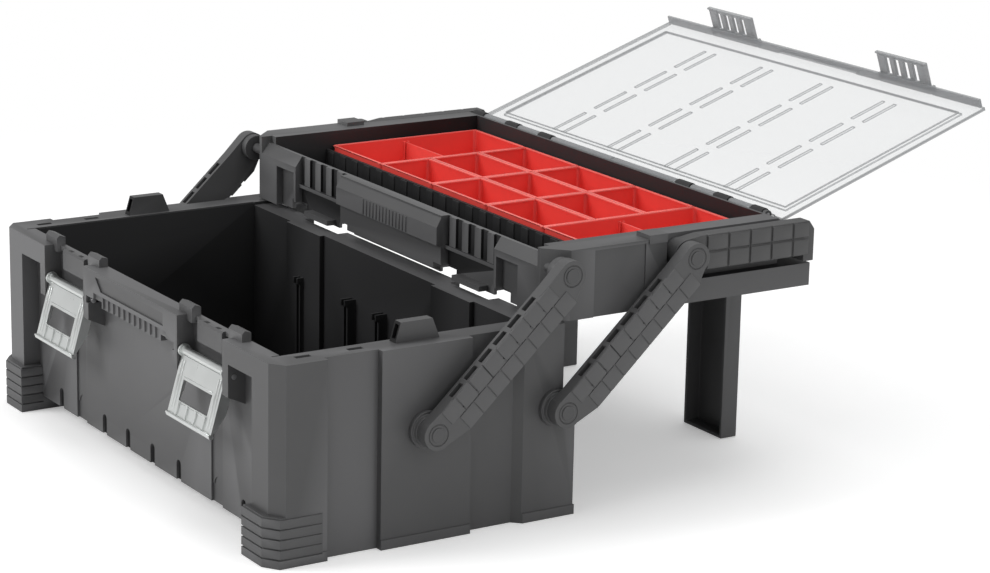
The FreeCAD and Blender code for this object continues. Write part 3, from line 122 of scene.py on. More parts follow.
class GrainGroup:
    """Shared effect: moulded grain, faint blotches, and pale convex edges, which are a painted
    highlight along the edges together with wear.
    """

    NAME = "moulded_grain"
    BLOTCH_SCALE = 14.0
    BLOTCH_RANGE = (0.3, 0.7)
    WEAR_AND_HIGHLIGHT_RANGE = (0.54, 0.64)
    ROUGHNESS_SWING = 0.12

    def build(self) -> bpy.types.NodeTree:
        """Build the group once.

        Returns:
            The group's node tree, made on the first call and found after that.
        """
        found = bpy.data.node_groups.get(self.NAME)
        if found:
            return found
        tree = bpy.data.node_groups.new(self.NAME, "ShaderNodeTree")
        face = tree.interface
        for name, kind, default in (
            ("Colour", "NodeSocketColor", (0.1, 0.1, 0.1, 1.0)),
            ("Pale", "NodeSocketColor", (0.2, 0.2, 0.2, 1.0)),
            ("Grain Scale", "NodeSocketFloat", 900.0),
            ("Blotch", "NodeSocketFloat", 0.1),
            ("Wear And Highlight", "NodeSocketFloat", 0.3),
            ("Roughness", "NodeSocketFloat", 0.5),
        ):
            socket = face.new_socket(name=name, in_out="INPUT", socket_type=kind)
            socket.default_value = default
        face.new_socket(name="Colour", in_out="OUTPUT", socket_type="NodeSocketColor")
        face.new_socket(name="Roughness", in_out="OUTPUT", socket_type="NodeSocketFloat")
        face.new_socket(name="Height", in_out="OUTPUT", socket_type="NodeSocketFloat")
        self.wire(tree)
        return tree

    def wire(self, tree: bpy.types.NodeTree) -> None:
        """Place and join the group's nodes.

        Args:
            tree: The empty group with its sockets.
        """
        add, link = NodeTools.add, NodeTools.link
        given = add(tree, "NodeGroupInput")
        result = add(tree, "NodeGroupOutput")
        place = add(tree, "ShaderNodeTexCoord")
        grain = add(tree, "ShaderNodeTexNoise")
        grain.inputs["Detail"].default_value = 2.0
        link(tree, place.outputs["Object"], grain.inputs["Vector"])
        link(tree, given.outputs["Grain Scale"], grain.inputs["Scale"])
        blotch = add(tree, "ShaderNodeTexNoise")
        blotch.inputs["Scale"].default_value = self.BLOTCH_SCALE
        blotch.inputs["Detail"].default_value = 4.0
        link(tree, place.outputs["Object"], blotch.inputs["Vector"])
        spread = add(tree, "ShaderNodeMapRange")
        spread.inputs["From Min"].default_value = self.BLOTCH_RANGE[0]
        spread.inputs["From Max"].default_value = self.BLOTCH_RANGE[1]
        spread.inputs["To Min"].default_value = -1.0
        link(tree, blotch.outputs["Fac"], spread.inputs["Value"])
        amount = add(tree, "ShaderNodeMath", operation="MULTIPLY")
        link(tree, spread.outputs["Result"], amount.inputs[0])
        link(tree, given.outputs["Blotch"], amount.inputs[1])
        level = add(tree, "ShaderNodeMath", operation="ADD")
        level.inputs[1].default_value = 1.0
        link(tree, amount.outputs[0], level.inputs[0])
        tone = add(tree, "ShaderNodeVectorMath", operation="SCALE")
        link(tree, given.outputs["Colour"], tone.inputs[0])
        link(tree, level.outputs[0], tone.inputs["Scale"])
        # Painted highlight and wear: convex edges, found by pointiness, are mixed towards the pale
        # colour.
        edge = add(tree, "ShaderNodeNewGeometry")
        wear_and_highlight_ramp = add(tree, "ShaderNodeMapRange")
        wear_and_highlight_ramp.inputs["From Min"].default_value = self.WEAR_AND_HIGHLIGHT_RANGE[0]
        wear_and_highlight_ramp.inputs["From Max"].default_value = self.WEAR_AND_HIGHLIGHT_RANGE[1]
        link(tree, edge.outputs["Pointiness"], wear_and_highlight_ramp.inputs["Value"])
        wear_and_highlight_mix = add(tree, "ShaderNodeMath", operation="MULTIPLY")
        link(tree, wear_and_highlight_ramp.outputs["Result"], wear_and_highlight_mix.inputs[0])
        link(tree, given.outputs["Wear And Highlight"], wear_and_highlight_mix.inputs[1])
        mix = add(tree, "ShaderNodeMix", data_type="RGBA")
        link(tree, wear_and_highlight_mix.outputs[0], mix.inputs["Factor"])
        link(tree, tone.outputs[0], mix.inputs["A"])
        link(tree, given.outputs["Pale"], mix.inputs["B"])
        link(tree, mix.outputs["Result"], result.inputs["Colour"])
        rough = add(tree, "ShaderNodeMath", operation="MULTIPLY_ADD")
        rough.inputs[1].default_value = self.ROUGHNESS_SWING
        link(tree, amount.outputs[0], rough.inputs[0])
        link(tree, given.outputs["Roughness"], rough.inputs[2])
        link(tree, rough.outputs[0], result.inputs["Roughness"])
        link(tree, grain.outputs["Fac"], result.inputs["Height"])


@dataclass(frozen=True)
class Moulded:
    """A moulded plastic finish."""

    name: str
    colour: tuple[float, float, float]
    # Colour of the pale edges: painted highlight together with wear.
    pale: tuple[float, float, float]
    roughness: float = 0.45
    grain: float = 900.0
    depth: float = 0.00004
    blotch: float = 0.06
    wear_and_highlight: float = 0.35
    specular: float = 0.5
    bump: float = 0.35

    def build(self) -> bpy.types.Material:
        """Build the material.

        Returns:
            The finished material.
        """
        material = bpy.data.materials.new(self.name)
        material.use_nodes = True
        tree = material.node_tree
        shader = tree.nodes["Principled BSDF"]
        group = NodeTools.add(tree, "ShaderNodeGroup", node_tree=GrainGroup().build())
        group.inputs["Colour"].default_value = (*self.colour, 1.0)
        group.inputs["Pale"].default_value = (*self.pale, 1.0)
        group.inputs["Grain Scale"].default_value = self.grain
        group.inputs["Blotch"].default_value = self.blotch
        group.inputs["Wear And Highlight"].default_value = self.wear_and_highlight
        group.inputs["Roughness"].default_value = self.roughness
        bump = NodeTools.add(tree, "ShaderNodeBump")
        bump.inputs["Strength"].default_value = self.bump
        bump.inputs["Distance"].default_value = self.depth
        NodeTools.link(tree, group.outputs["Colour"], shader.inputs["Base Color"])
        NodeTools.link(tree, group.outputs["Roughness"], shader.inputs["Roughness"])
        NodeTools.link(tree, group.outputs["Height"], bump.inputs["Height"])
        NodeTools.link(tree, bump.outputs["Normal"], shader.inputs["Normal"])
        shader.inputs["Specular IOR Level"].default_value = self.specular
        return material


@dataclass(frozen=True)
class Plated:
    """Zinc-plated sheet steel with a drawn grain along its height."""

    name: str
    colour: tuple[float, float, float]
    roughness: float = 0.3
    swing: tuple[float, float] = (0.08, 0.14)
    stretch: Point = (900.0, 60.0, 60.0)
    cloud_scale: float = 45.0
    shade: float = 0.88

    def build(self) -> bpy.types.Material:
        """Build the material.

        Returns:
            The finished material.
        """
        material = bpy.data.materials.new(self.name)
        material.use_nodes = True
        tree = material.node_tree
        shader = tree.nodes["Principled BSDF"]
        add, link = NodeTools.add, NodeTools.link
        place = add(tree, "ShaderNodeTexCoord")
        stretch = add(tree, "ShaderNodeMapping")
        stretch.inputs["Scale"].default_value = self.stretch
        grain = add(tree, "ShaderNodeTexNoise")
        grain.inputs["Scale"].default_value = 1.0
        cloud = add(tree, "ShaderNodeTexNoise")
        cloud.inputs["Scale"].default_value = self.cloud_scale
        link(tree, place.outputs["Object"], stretch.inputs["Vector"])
        link(tree, stretch.outputs["Vector"], grain.inputs["Vector"])
        link(tree, place.outputs["Object"], cloud.inputs["Vector"])
        rough = add(tree, "ShaderNodeMapRange")
        rough.inputs["To Min"].default_value = self.roughness - self.swing[0]
        rough.inputs["To Max"].default_value = self.roughness + self.swing[1]
        link(tree, grain.outputs["Fac"], rough.inputs["Value"])
        link(tree, rough.outputs["Result"], shader.inputs["Roughness"])
        tint = add(tree, "ShaderNodeMix", data_type="RGBA")
        tint.inputs["A"].default_value = (*(value * self.shade for value in self.colour), 1.0)
        tint.inputs["B"].default_value = (*self.colour, 1.0)
        link(tree, cloud.outputs["Fac"], tint.inputs["Factor"])
        link(tree, tint.outputs["Result"], shader.inputs["Base Color"])
        shader.inputs["Metallic"].default_value = 1.0
        return material


@dataclass(frozen=True)
class Clear:
    """Clear moulded plastic."""

    name: str
    tint: tuple[float, float, float] = (0.62, 0.64, 0.65)
    alpha: float = 0.22
    roughness: float = 0.12
    swing: tuple[float, float] = (0.04, 0.06)
    haze_scale: float = 30.0
    refraction: float = 1.49
    specular: float = 0.6

    def build(self) -> bpy.types.Material:
        """Build the material.

        Returns:
            The finished material.
        """
        material = bpy.data.materials.new(self.name)
        material.use_nodes = True
        tree = material.node_tree
        shader = tree.nodes["Principled BSDF"]
        add, link = NodeTools.add, NodeTools.link
        place = add(tree, "ShaderNodeTexCoord")
        haze = add(tree, "ShaderNodeTexNoise")
        haze.inputs["Scale"].default_value = self.haze_scale
        link(tree, place.outputs["Object"], haze.inputs["Vector"])
        rough = add(tree, "ShaderNodeMapRange")
        rough.inputs["To Min"].default_value = self.roughness - self.swing[0]
        rough.inputs["To Max"].default_value = self.roughness + self.swing[1]
        link(tree, haze.outputs["Fac"], rough.inputs["Value"])
        link(tree, rough.outputs["Result"], shader.inputs["Roughness"])
        shader.inputs["Base Color"].default_value = (*self.tint, 1.0)
        shader.inputs["Alpha"].default_value = self.alpha
        shader.inputs["IOR"].default_value = self.refraction
        shader.inputs["Specular IOR Level"].default_value = self.specular
        return material


@dataclass
class Finishes:
    """Every finish of the box, by record slot."""

    made: dict[Slot, bpy.types.Material] = field(default_factory=dict)
    # Near-black painted shade for hollows and sockets.
    inner: bpy.types.Material | None = None
    # Lighter bin red: painted highlight on the bin rims.
    rim: bpy.types.Material | None = None
    edge: bpy.types.Material | None = None

    def build(self) -> "Finishes":
        """Build all the materials.

        Returns:
            The same object, filled.
        """
        # Each grey has a paler colour for its edges: painted highlight together with wear.
        greys = (
            (Slot.BODY, "body_grey", (0.071, 0.071, 0.0725), (0.19, 0.19, 0.195)),
            (Slot.ARM, "arm_grey", (0.08, 0.08, 0.0815), (0.2, 0.2, 0.205)),
            (Slot.HANDLE, "handle_grey", (0.058, 0.058, 0.059), (0.16, 0.16, 0.16)),
        )
        for slot, name, colour, pale in greys:
            self.made[slot] = Moulded(name, colour, pale).build()
        smooth = {"grain": 600.0, "depth": 0.00002, "blotch": 0.03}
        self.made[Slot.BIN] = Moulded(
            "bin_red", (0.84, 0.075, 0.062), (0.92, 0.3, 0.26), roughness=0.3, **smooth
        ).build()
        # Painted highlight: a lighter, glossier copy of the bin red for the bins' top rims, where
        # light falls on the lip.
        self.rim = Moulded(
            "bin_red_rim", (0.9, 0.135, 0.115), (0.95, 0.36, 0.32), roughness=0.26, **smooth
        ).build()
        # Painted shade: near-black for the faces inside the tub and tray hollows, the trough ribs
        # and the catch sockets; the hinge knuckles use it too.
        self.inner = Moulded(
            "painted_shade_black",
            (0.0135, 0.0135, 0.014),
            (0.06, 0.06, 0.062),
            roughness=0.5,
            grain=700.0,
            depth=0.00003,
            blotch=0.1,
            wear_and_highlight=0.5,
            specular=0.2,
        ).build()
        self.made[Slot.CLEAR] = Clear("clear_lid").build()
        self.edge = Clear("clear_lid_edge", (0.3, 0.31, 0.32), alpha=0.74, roughness=0.2).build()
        self.made[Slot.LATCH] = Plated("zinc_plate", (0.74, 0.76, 0.75)).build()
        self.made[Slot.PIN] = Plated("pin_metal", (0.45, 0.45, 0.46), roughness=0.35).build()
        return self


class Workbench:
    """Operators shared by the classes that model pieces."""

    WELD = 0.000002
    SAME_PLANE = math.radians(0.4)
    SHARP_EDGE = math.radians(28)
    SMOOTH_NODE = math.radians(50)
    SMOOTH_DETAIL = math.radians(35)
    ROD_END = 0.35
    SEGMENTS = 2

    @staticmethod
    def only(item: bpy.types.Object) -> None:
        """Make one object the only one selected, and active.

        Args:
            item: The object.
        """
        bpy.ops.object.select_all(action="DESELECT")
        item.select_set(True)
        bpy.context.view_layer.objects.active = item

    @staticmethod
    def merged_copy(node: bpy.types.Object, name: str) -> bpy.types.Object:
        """Copy a frame node and join its loose triangles into flat faces.

        Args:
            node: The frame node.
            name: Name of the copy.

        Returns:
            The new object.
        """
        mesh = node.data.copy()
        mesh.materials.clear()
        item = bpy.data.objects.new(name, mesh)
        bpy.context.scene.collection.objects.link(item)
        Workbench.only(item)
        bpy.ops.object.mode_set(mode="EDIT")
        bpy.ops.mesh.select_all(action="SELECT")
        bpy.ops.mesh.remove_doubles(threshold=Workbench.WELD)
        bpy.ops.mesh.dissolve_limited(angle_limit=Workbench.SAME_PLANE)
        bpy.ops.object.mode_set(mode="OBJECT")
        if mesh.has_custom_normals:
            bpy.ops.mesh.customdata_custom_splitnormals_clear()
        return item

    @staticmethod
    def rounded(item: bpy.types.Object, width: float) -> None:
        """Round the sharp edges of a piece and shade its large faces flat.

        Args:
            item: The piece.
            width: Width of the rounding, in metres.
        """
        bevel = item.modifiers.new("edges", "BEVEL")
        bevel.width = width
        bevel.segments = Workbench.SEGMENTS
        bevel.limit_method = "ANGLE"
        bevel.angle_limit = Workbench.SHARP_EDGE
        bevel.use_clamp_overlap = True
        Workbench.only(item)
        bpy.ops.object.modifier_apply(modifier=bevel.name)
        bpy.ops.object.shade_smooth_by_angle(angle=Workbench.SMOOTH_NODE)
        for face in item.data.polygons:
            if face.area > FLAT_AREA:
                face.use_smooth = False

    @staticmethod
    def block(size: Point, place: Point, bevel: float) -> bpy.types.Object:
        """Add a cube, scale it to size and round its edges.

        Args:
            size: Full size along X, Y and Z, in metres.
            place: Centre of the block.
            bevel: Width of the rounding.

        Returns:
            The new block, with its size in its mesh.
        """
        bpy.ops.object.select_all(action="DESELECT")
        bpy.ops.mesh.primitive_cube_add(size=1.0, location=place)
        item = bpy.context.active_object
        item.scale = size
        bpy.ops.object.transform_apply(location=True, rotation=False, scale=True)
        bpy.ops.object.mode_set(mode="EDIT")
        bpy.ops.mesh.select_all(action="SELECT")
        bpy.ops.mesh.bevel(offset=bevel, segments=Workbench.SEGMENTS, affect="EDGES")
        bpy.ops.object.mode_set(mode="OBJECT")
        return item

    @staticmethod
    def rod(radius: float, start: Point, end: Point, sides: int) -> bpy.types.Object:
        """Add a round bar between two points and round its ends.

        Args:
            radius: Its radius, in metres.
            start: Centre of one end.
            end: Centre of the other end.
            sides: Faces round it.

        Returns:
            The new bar.
        """
        first, last = Vector(start), Vector(end)
        bpy.ops.object.select_all(action="DESELECT")
        length = (last - first).length
        bpy.ops.mesh.primitive_cylinder_add(vertices=sides, radius=radius, depth=length)
        item = bpy.context.active_object
        turn = (last - first).to_track_quat("Z", "Y").to_matrix().to_4x4()
        item.matrix_world = Matrix.Translation((first + last) / 2.0) @ turn
        bpy.ops.object.transform_apply(location=True, rotation=True, scale=True)
        bpy.ops.object.mode_set(mode="EDIT")
        bpy.ops.mesh.select_all(action="SELECT")
        bpy.ops.mesh.bevel(
            offset=radius * Workbench.ROD_END,
            segments=Workbench.SEGMENTS,
            affect="EDGES",
            clamp_overlap=True,
        )
        bpy.ops.object.mode_set(mode="OBJECT")
        return item

    @staticmethod
    def copies(item: bpy.types.Object, moves: list[Point]) -> list[bpy.types.Object]:
        """Copy one shape to other places, each copy with its own mesh.

        Args:
            item: The shape, which stays where it is.
            moves: How far each copy is moved.

        Returns:
            The shape and its copies.
        """
        made = [item]
        for move in moves:
            twin = bpy.data.objects.new(item.name, item.data.copy())
            bpy.context.scene.collection.objects.link(twin)
            twin.data.transform(Matrix.Translation(Vector(move)))
            made.append(twin)
        return made

    @staticmethod
    def joined(
        items: list[bpy.types.Object], name: str, turn: Matrix | None = None
    ) -> bpy.types.Object:
        """Join shapes into one piece with its place in its mesh.

        Args:
            items: The shapes.
            name: Name of the piece.
            turn: Turn and move given to the whole piece.

        Returns:
            The joined piece.
        """
        bpy.ops.object.select_all(action="DESELECT")
        for item in items:
            item.select_set(True)
        bpy.context.view_layer.objects.active = items[0]
        bpy.ops.object.join()
        piece = bpy.context.active_object
        piece.name = name
        piece.data.name = name
        if turn is not None:
            piece.data.transform(turn)
        bpy.ops.object.shade_smooth_by_angle(angle=Workbench.SMOOTH_DETAIL)
        return piece

    @staticmethod
    def mount(
        piece: bpy.types.Object, body: str, slot: Slot, material: bpy.types.Material
    ) -> None:
        """Give an added piece its finish and let it ride on a body.

        Args:
            piece: The added piece.
            body: The body it rides on.
            slot: Its material slot; not used.
            material: Its finish.
        """
        piece.data.materials.clear()
        piece.data.materials.append(material)
        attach(piece, body)
        LOG.info("%s: %d faces", piece.name, len(piece.data.polygons))


@dataclass
class Dresser:
    """Gives every frame node its rounded edges and its finish."""

    frame: dict
    finishes: Finishes
    widths: dict[Slot, float] = field(
        default_factory=lambda: {
            Slot.BODY: 0.6 * MM,
            Slot.ARM: 0.5 * MM,
            Slot.HANDLE: 0.6 * MM,
            Slot.BIN: 0.45 * MM,
            Slot.CLEAR: 0.55 * MM,
            Slot.LATCH: 0.35 * MM,
            Slot.PIN: 0.2 * MM,
        }
    )
    broad: float = 0.93
    # Boxes, per node, whose faces get the painted shade: the hollows of the tub and of the tray,
    # and small pockets on their walls.
    shade_boxes: dict[str, tuple[tuple[Vector, Vector], ...]] = field(
        default_factory=lambda: {
            "base_tub": (
                (Vector((-0.2536, -0.1306, 0.0165)), Vector((0.2536, 0.1136, 0.1795))),
                (Vector((0.2599, -0.031, 0.1825)), Vector((0.2661, -0.0029, 0.1945))),
                (Vector((-0.2661, -0.031, 0.1825)), Vector((-0.2599, -0.0029, 0.1945))),
            ),
            "tray_body": (
                (Vector((-0.2516, 0.1355, 0.1875)), Vector((0.2516, 0.3975, 0.2385))),
                (Vector((-0.19, 0.131, 0.19)), Vector((-0.094, 0.1345, 0.236))),
                (Vector((0.094, 0.131, 0.19)), Vector((0.19, 0.1345, 0.236))),
            ),
        }
    )

    def paint_hollow_shade(self, item: bpy.types.Object, node: str) -> None:
        """Paint shade on the faces inside a hollow: they get the near-black painted-shade
        material.

        Args:
            item: The shown piece.
            node: Name of its frame node.
        """
        boxes = self.shade_boxes.get(node, ())
        if not boxes:
            return
        item.data.materials.append(self.finishes.inner)
        for face in item.data.polygons:
            centre = face.center
            for low, high in boxes:
                if all(low[axis] < centre[axis] < high[axis] for axis in range(3)):
                    face.material_index = 1

    def paint_edges(self, item: bpy.types.Object) -> None:
        """Give the narrow faces of the clear lid the denser edge finish.

        Args:
            item: The shown piece.
        """
        flat = Vector((0.0, math.sin(LID_OPEN), math.cos(LID_OPEN)))
        item.data.materials.append(self.finishes.edge)
        for face in item.data.polygons:
            if abs(face.normal.dot(flat)) < self.broad:
                face.material_index = 1

    def dress(self, node: str, slot: Slot, body: str) -> None:
        """Build the shown piece of one node.

        Args:
            node: Name of the frame node.
            slot: Its material slot.
            body: The body it rides on.
        """
        item = Workbench.merged_copy(self.frame["nodes"][node], f"{node}_shown")
        Workbench.rounded(item, self.widths[slot])
        item.data.materials.append(self.finishes.made[slot])
        # Painted shade inside the hollows.
        self.paint_hollow_shade(item, node)
        if slot is Slot.CLEAR:
            self.paint_edges(item)
        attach(item, body)
        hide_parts(node)
        LOG.info("%s: %d faces", item.name, len(item.data.polygons))

    def dress_all(self) -> None:
        """Dress every node of the record."""
        record = self.frame["record"]
        slots = {part["node"]: Slot(part["material_slot"]) for part in record["subparts"]}
        for body, nodes in record["behaviour"]["bodies"].items():
            for node in nodes:
                self.dress(node, slots[node], body)


@dataclass
class RaisedPlates:
    """Rows of low moulded plates on the arms and on the sides of the handle."""

    finishes: Finishes
    arm_face: float = 0.3055
    handle_face: float = 0.2905
    proud: float = 0.8 * MM
    sunk: float = 0.9 * MM
    gap: float = 1.2 * MM
    arm_pitch: float = 18.4 * MM
    arm_columns: tuple[float, float] = (-4.5 * MM, 12.6 * MM)
    arm_column: float = 16.1 * MM
    arm_start: float = 24.0 * MM
    arm_count: int = 8
    arm_lean: float = 47.203
    soft: float = 0.45 * MM
    handle_rows: tuple[tuple[float, float], ...] = ((0.2140, 0.2283), (0.2308, 0.2440))
    handle_start: float = 0.2992
    handle_end: float = 0.3948
    handle_pitch: float = 24.5 * MM
    handle_long: float = 22.0 * MM
    handle_short: float = 17.0 * MM
    arm_feet: dict[str, tuple[float, float]] = field(
        default_factory=lambda: {"front": (-0.003, 0.104), "rear": (0.131, 0.104)}
    )

    def build(self) -> None:
        """Build the plates of the four arms and of the handle."""
        for side, sign in (("right", 1.0), ("left", -1.0)):
            for row, foot in self.arm_feet.items():
                self.arm(f"arm_{row}_{side}", sign, foot)
        self.handle()

    def arm(self, body: str, sign: float, foot: tuple[float, float]) -> None:
        """Two staggered columns of plates along one arm.

        Args:
            body: The arm's body.
            sign: Side of the box, 1 for right.
            foot: Depth and height of the lower axis.
        """
        thick = self.proud + self.sunk
        face = sign * (self.arm_face + (self.proud - self.sunk) / 2.0)
        size = (thick, self.arm_column, self.arm_pitch - self.gap)
        plates: list[bpy.types.Object] = []
        for column, across in enumerate(self.arm_columns):
            start = self.arm_start + column * self.arm_pitch / 2.0
            first = Workbench.block(size, (face, across, start), self.soft)
            moves = [(0.0, 0.0, self.arm_pitch * step) for step in range(1, self.arm_count)]
            plates += Workbench.copies(first, moves)
        lean = Matrix.Rotation(-math.radians(self.arm_lean), 4, "X")
        piece = Workbench.joined(
            plates, f"{body}_plates", Matrix.Translation((0.0, *foot)) @ lean
        )
        Workbench.mount(piece, body, Slot.ARM, self.finishes.made[Slot.ARM])

    def handle(self) -> None:
        """Two rows of plates on each side of the folded handle."""
        thick = self.proud + self.sunk
        plates: list[bpy.types.Object] = []
        for sign in (1.0, -1.0):
            face = sign * (self.handle_face + (self.proud - self.sunk) / 2.0)
            for low, high in self.handle_rows:
                middle = (low + high) / 2.0
                size = (thick, self.handle_long, high - low)
                first = Workbench.block(size, (face, self.handle_start, middle), self.soft)
                moves = [(0.0, self.handle_pitch * step, 0.0) for step in range(1, 4)]
                plates += Workbench.copies(first, moves)
                size = (thick, self.handle_short, high - low)
                plates.append(Workbench.block(size, (face, self.handle_end, middle), self.soft))
        piece = Workbench.joined(plates, "carry_handle_plates")
        Workbench.mount(piece, "carry_handle", Slot.HANDLE, self.finishes.made[Slot.HANDLE])


@dataclass
class TrayRibs:
    """The broad upright ribs on the wall in front of the bins."""

    finishes: Finishes
    wall_depth: float = 0.1963
    half_length: float = 0.2464
    low: float = 0.1885
    high: float = 0.2272
    pitch: float = 24.64 * MM
    width: float = 12.5 * MM
    depth: float = 3.6 * MM
    soft: float = 1.1 * MM

    def build(self) -> None:
        """Build the row of ribs."""
        count = round(2.0 * self.half_length / self.pitch)
        size = (self.width, self.depth, self.high - self.low)
        start = -self.half_length + self.width / 2.0
        place = (start, self.wall_depth, (self.high + self.low) / 2.0)
        first = Workbench.block(size, place, self.soft)
        ribs = Workbench.copies(first, [(self.pitch * step, 0.0, 0.0) for step in range(1, count)])
        piece = Workbench.joined(ribs, "trough_wall_ribs")
        # The ribs stand in the shaded trough and get the painted-shade black.
        Workbench.mount(piece, "tray", Slot.BODY, self.finishes.inner)


@dataclass
class BinRims:
    """The thick rim round the top of each bin, given a lighter red as a painted highlight where
    light falls on the lip.
    """

    finishes: Finishes
    width: float = 2.9 * MM
    height: float = 1.9 * MM
    slim: float = 1.7 * MM
    stand: float = 0.25 * MM
    short: float = 2.0 * MM
    end_soft: float = 0.7 * MM
    side_soft: float = 0.6 * MM

    def build(self, nodes: list[str]) -> None:
        """Build one rim for each bin.

        Args:
            nodes: Names of the bins, which are also their bodies.
        """
        for node in nodes:
            self.rim(node)

    def rim(self, node: str) -> None:
        """Build the four bars of one rim and join them.

        Args:
            node: Name of the bin.
        """
        low, high = (Vector(corner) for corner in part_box(node))
        middle = (low + high) / 2.0
        top = high.z + self.stand - self.height / 2.0
        inset = self.width / 2.0
        bars: list[bpy.types.Object] = []
        for depth in (low.y + inset, high.y - inset):
            size = (high.x - low.x - self.short, self.width, self.height)
            bars.append(Workbench.block(size, (middle.x, depth, top), self.end_soft))
        side = self.slim if node.startswith("bin_long") else self.width
        for along in (low.x + side / 2.0, high.x - side / 2.0):
            size = (side, high.y - low.y - self.short, self.height)
            bars.append(Workbench.block(size, (along, middle.y, top), self.side_soft))
        # The rim takes the lighter red of the painted highlight.
        Workbench.mount(
            Workbench.joined(bars, f"{node}_rim"), node, Slot.BIN, self.finishes.rim
        )


@dataclass
class HingeBarrels:
    """The dark knuckles and the clear barrels along the lid's hinge."""

    finishes: Finishes
    axis: tuple[float, float] = (0.3876, 0.244)
    knuckle_radius: float = 5.2 * MM
    barrel_radius: float = 4.5 * MM
    sides: int = 24
    knuckles: tuple[tuple[float, float], ...] = (
        (-0.266, -0.2455),
        (-0.202, -0.1795),
        (-0.139, -0.116),
        (0.1055, 0.1285),
        (0.1675, 0.1905),
        (0.226, 0.2445),
    )
    barrels: tuple[tuple[float, float], ...] = (
        (-0.2435, -0.2035),
        (-0.1785, -0.14),
        (-0.115, -0.006),
        (-0.003, 0.1045),
        (0.1295, 0.1665),
        (0.1915, 0.225),
    )

    def build(self) -> None:
        """Build the knuckles on the tray and the barrels on the lid."""
        piece = self.row("hinge_knuckles", self.knuckles, self.knuckle_radius)
        # The knuckles take the near-black painted-shade material.
        Workbench.mount(piece, "tray", Slot.BODY, self.finishes.inner)
        piece = self.row("hinge_barrels", self.barrels, self.barrel_radius)
        Workbench.mount(piece, "lid", Slot.CLEAR, self.finishes.edge)

    def row(
        self, name: str, spans: tuple[tuple[float, float], ...], radius: float
    ) -> bpy.types.Object:
        """Build one row of round pieces on the hinge's axis.

        Args:
            name: Name of the piece.
            spans: Start and end of each one along the box.
            radius: Their radius.

        Returns:
            The row as one piece.
        """
        rods = [
            Workbench.rod(radius, (start, *self.axis), (end, *self.axis), self.sides)
            for start, end in spans
        ]
        return Workbench.joined(rods, name)


@dataclass
class CatchSockets:
    """Sockets on top of the catch rails: low near-black marks that are a painted shade for their
    hollows.
    """

    finishes: Finishes
    places: tuple[float, ...] = (0.131, 0.153)
    depth: float = -0.1365
    size: Point = (7.0 * MM, 3.4 * MM, 0.8 * MM)
    rim: float = 0.18
    sunk: float = 0.25 * MM
    soft: float = 0.1 * MM

    def build(self) -> None:
        """Build the sockets of both sides."""
        marks: list[bpy.types.Object] = []
        for along in self.places:
            for sign in (1.0, -1.0):
                place = (sign * along, self.depth, self.rim - self.sunk)
                marks.append(Workbench.block(self.size, place, self.soft))
        piece = Workbench.joined(marks, "catch_sockets")
        # Painted shade: the sockets get the near-black shade material.
        Workbench.mount(piece, "tub", Slot.BODY, self.finishes.inner)


@dataclass
class LeverBeads:
    """Pressed beads and the turned lower lip on each latch lever."""

    finishes: Finishes
    centre: float = 0.142
    axis: tuple[float, float] = (-0.144, 0.148)
    tilt: float = 16.0
    face: float = -1.0 * MM
    upright_places: tuple[float, ...] = (-37.5, -33.0, 33.0, 37.5)
    upright_ends: tuple[float, float] = (-8.0 * MM, -52.0 * MM)
    upright_radius: float = 0.8 * MM
    level_heights: tuple[float, ...] = (-21.5, -45.0)
    level_half: float = 27.0 * MM
    level_radius: float = 0.55 * MM
    lip_size: Point = (84.0 * MM, 3.4 * MM, 2.2 * MM)
    lip_place: Point = (0.0, -1.6 * MM, -57.4 * MM)
    lip_soft: float = 0.5 * MM
    sides: int = 10

    def build(self) -> None:
        """Build the beads of both levers."""
        tilt = Matrix.Rotation(-math.radians(self.tilt), 4, "X")
        for side, sign in (("right", 1.0), ("left", -1.0)):
            turn = Matrix.Translation((sign * self.centre, *self.axis)) @ tilt
            piece = Workbench.joined(self.beads(), f"latch_lever_{side}_beads", turn)
            Workbench.mount(
                piece, f"latch_lever_{side}", Slot.LATCH, self.finishes.made[Slot.LATCH]
            )

    def beads(self) -> list[bpy.types.Object]:
        """Model the beads and the lip of one upright lever.

        Returns:
            The loose shapes, measured from the lever's axis.
        """
        high, low = self.upright_ends
        shapes = [
            Workbench.rod(
                self.upright_radius,
                (place * MM, self.face, high),
                (place * MM, self.face, low),
                self.sides,
            )
            for place in self.upright_places
        ]
        shapes += [
            Workbench.rod(
                self.level_radius,
                (-self.level_half, self.face, height * MM),
                (self.level_half, self.face, height * MM),
                self.sides,
            )
            for height in self.level_heights
        ]
        shapes.append(Workbench.block(self.lip_size, self.lip_place, self.lip_soft))
        return shapes


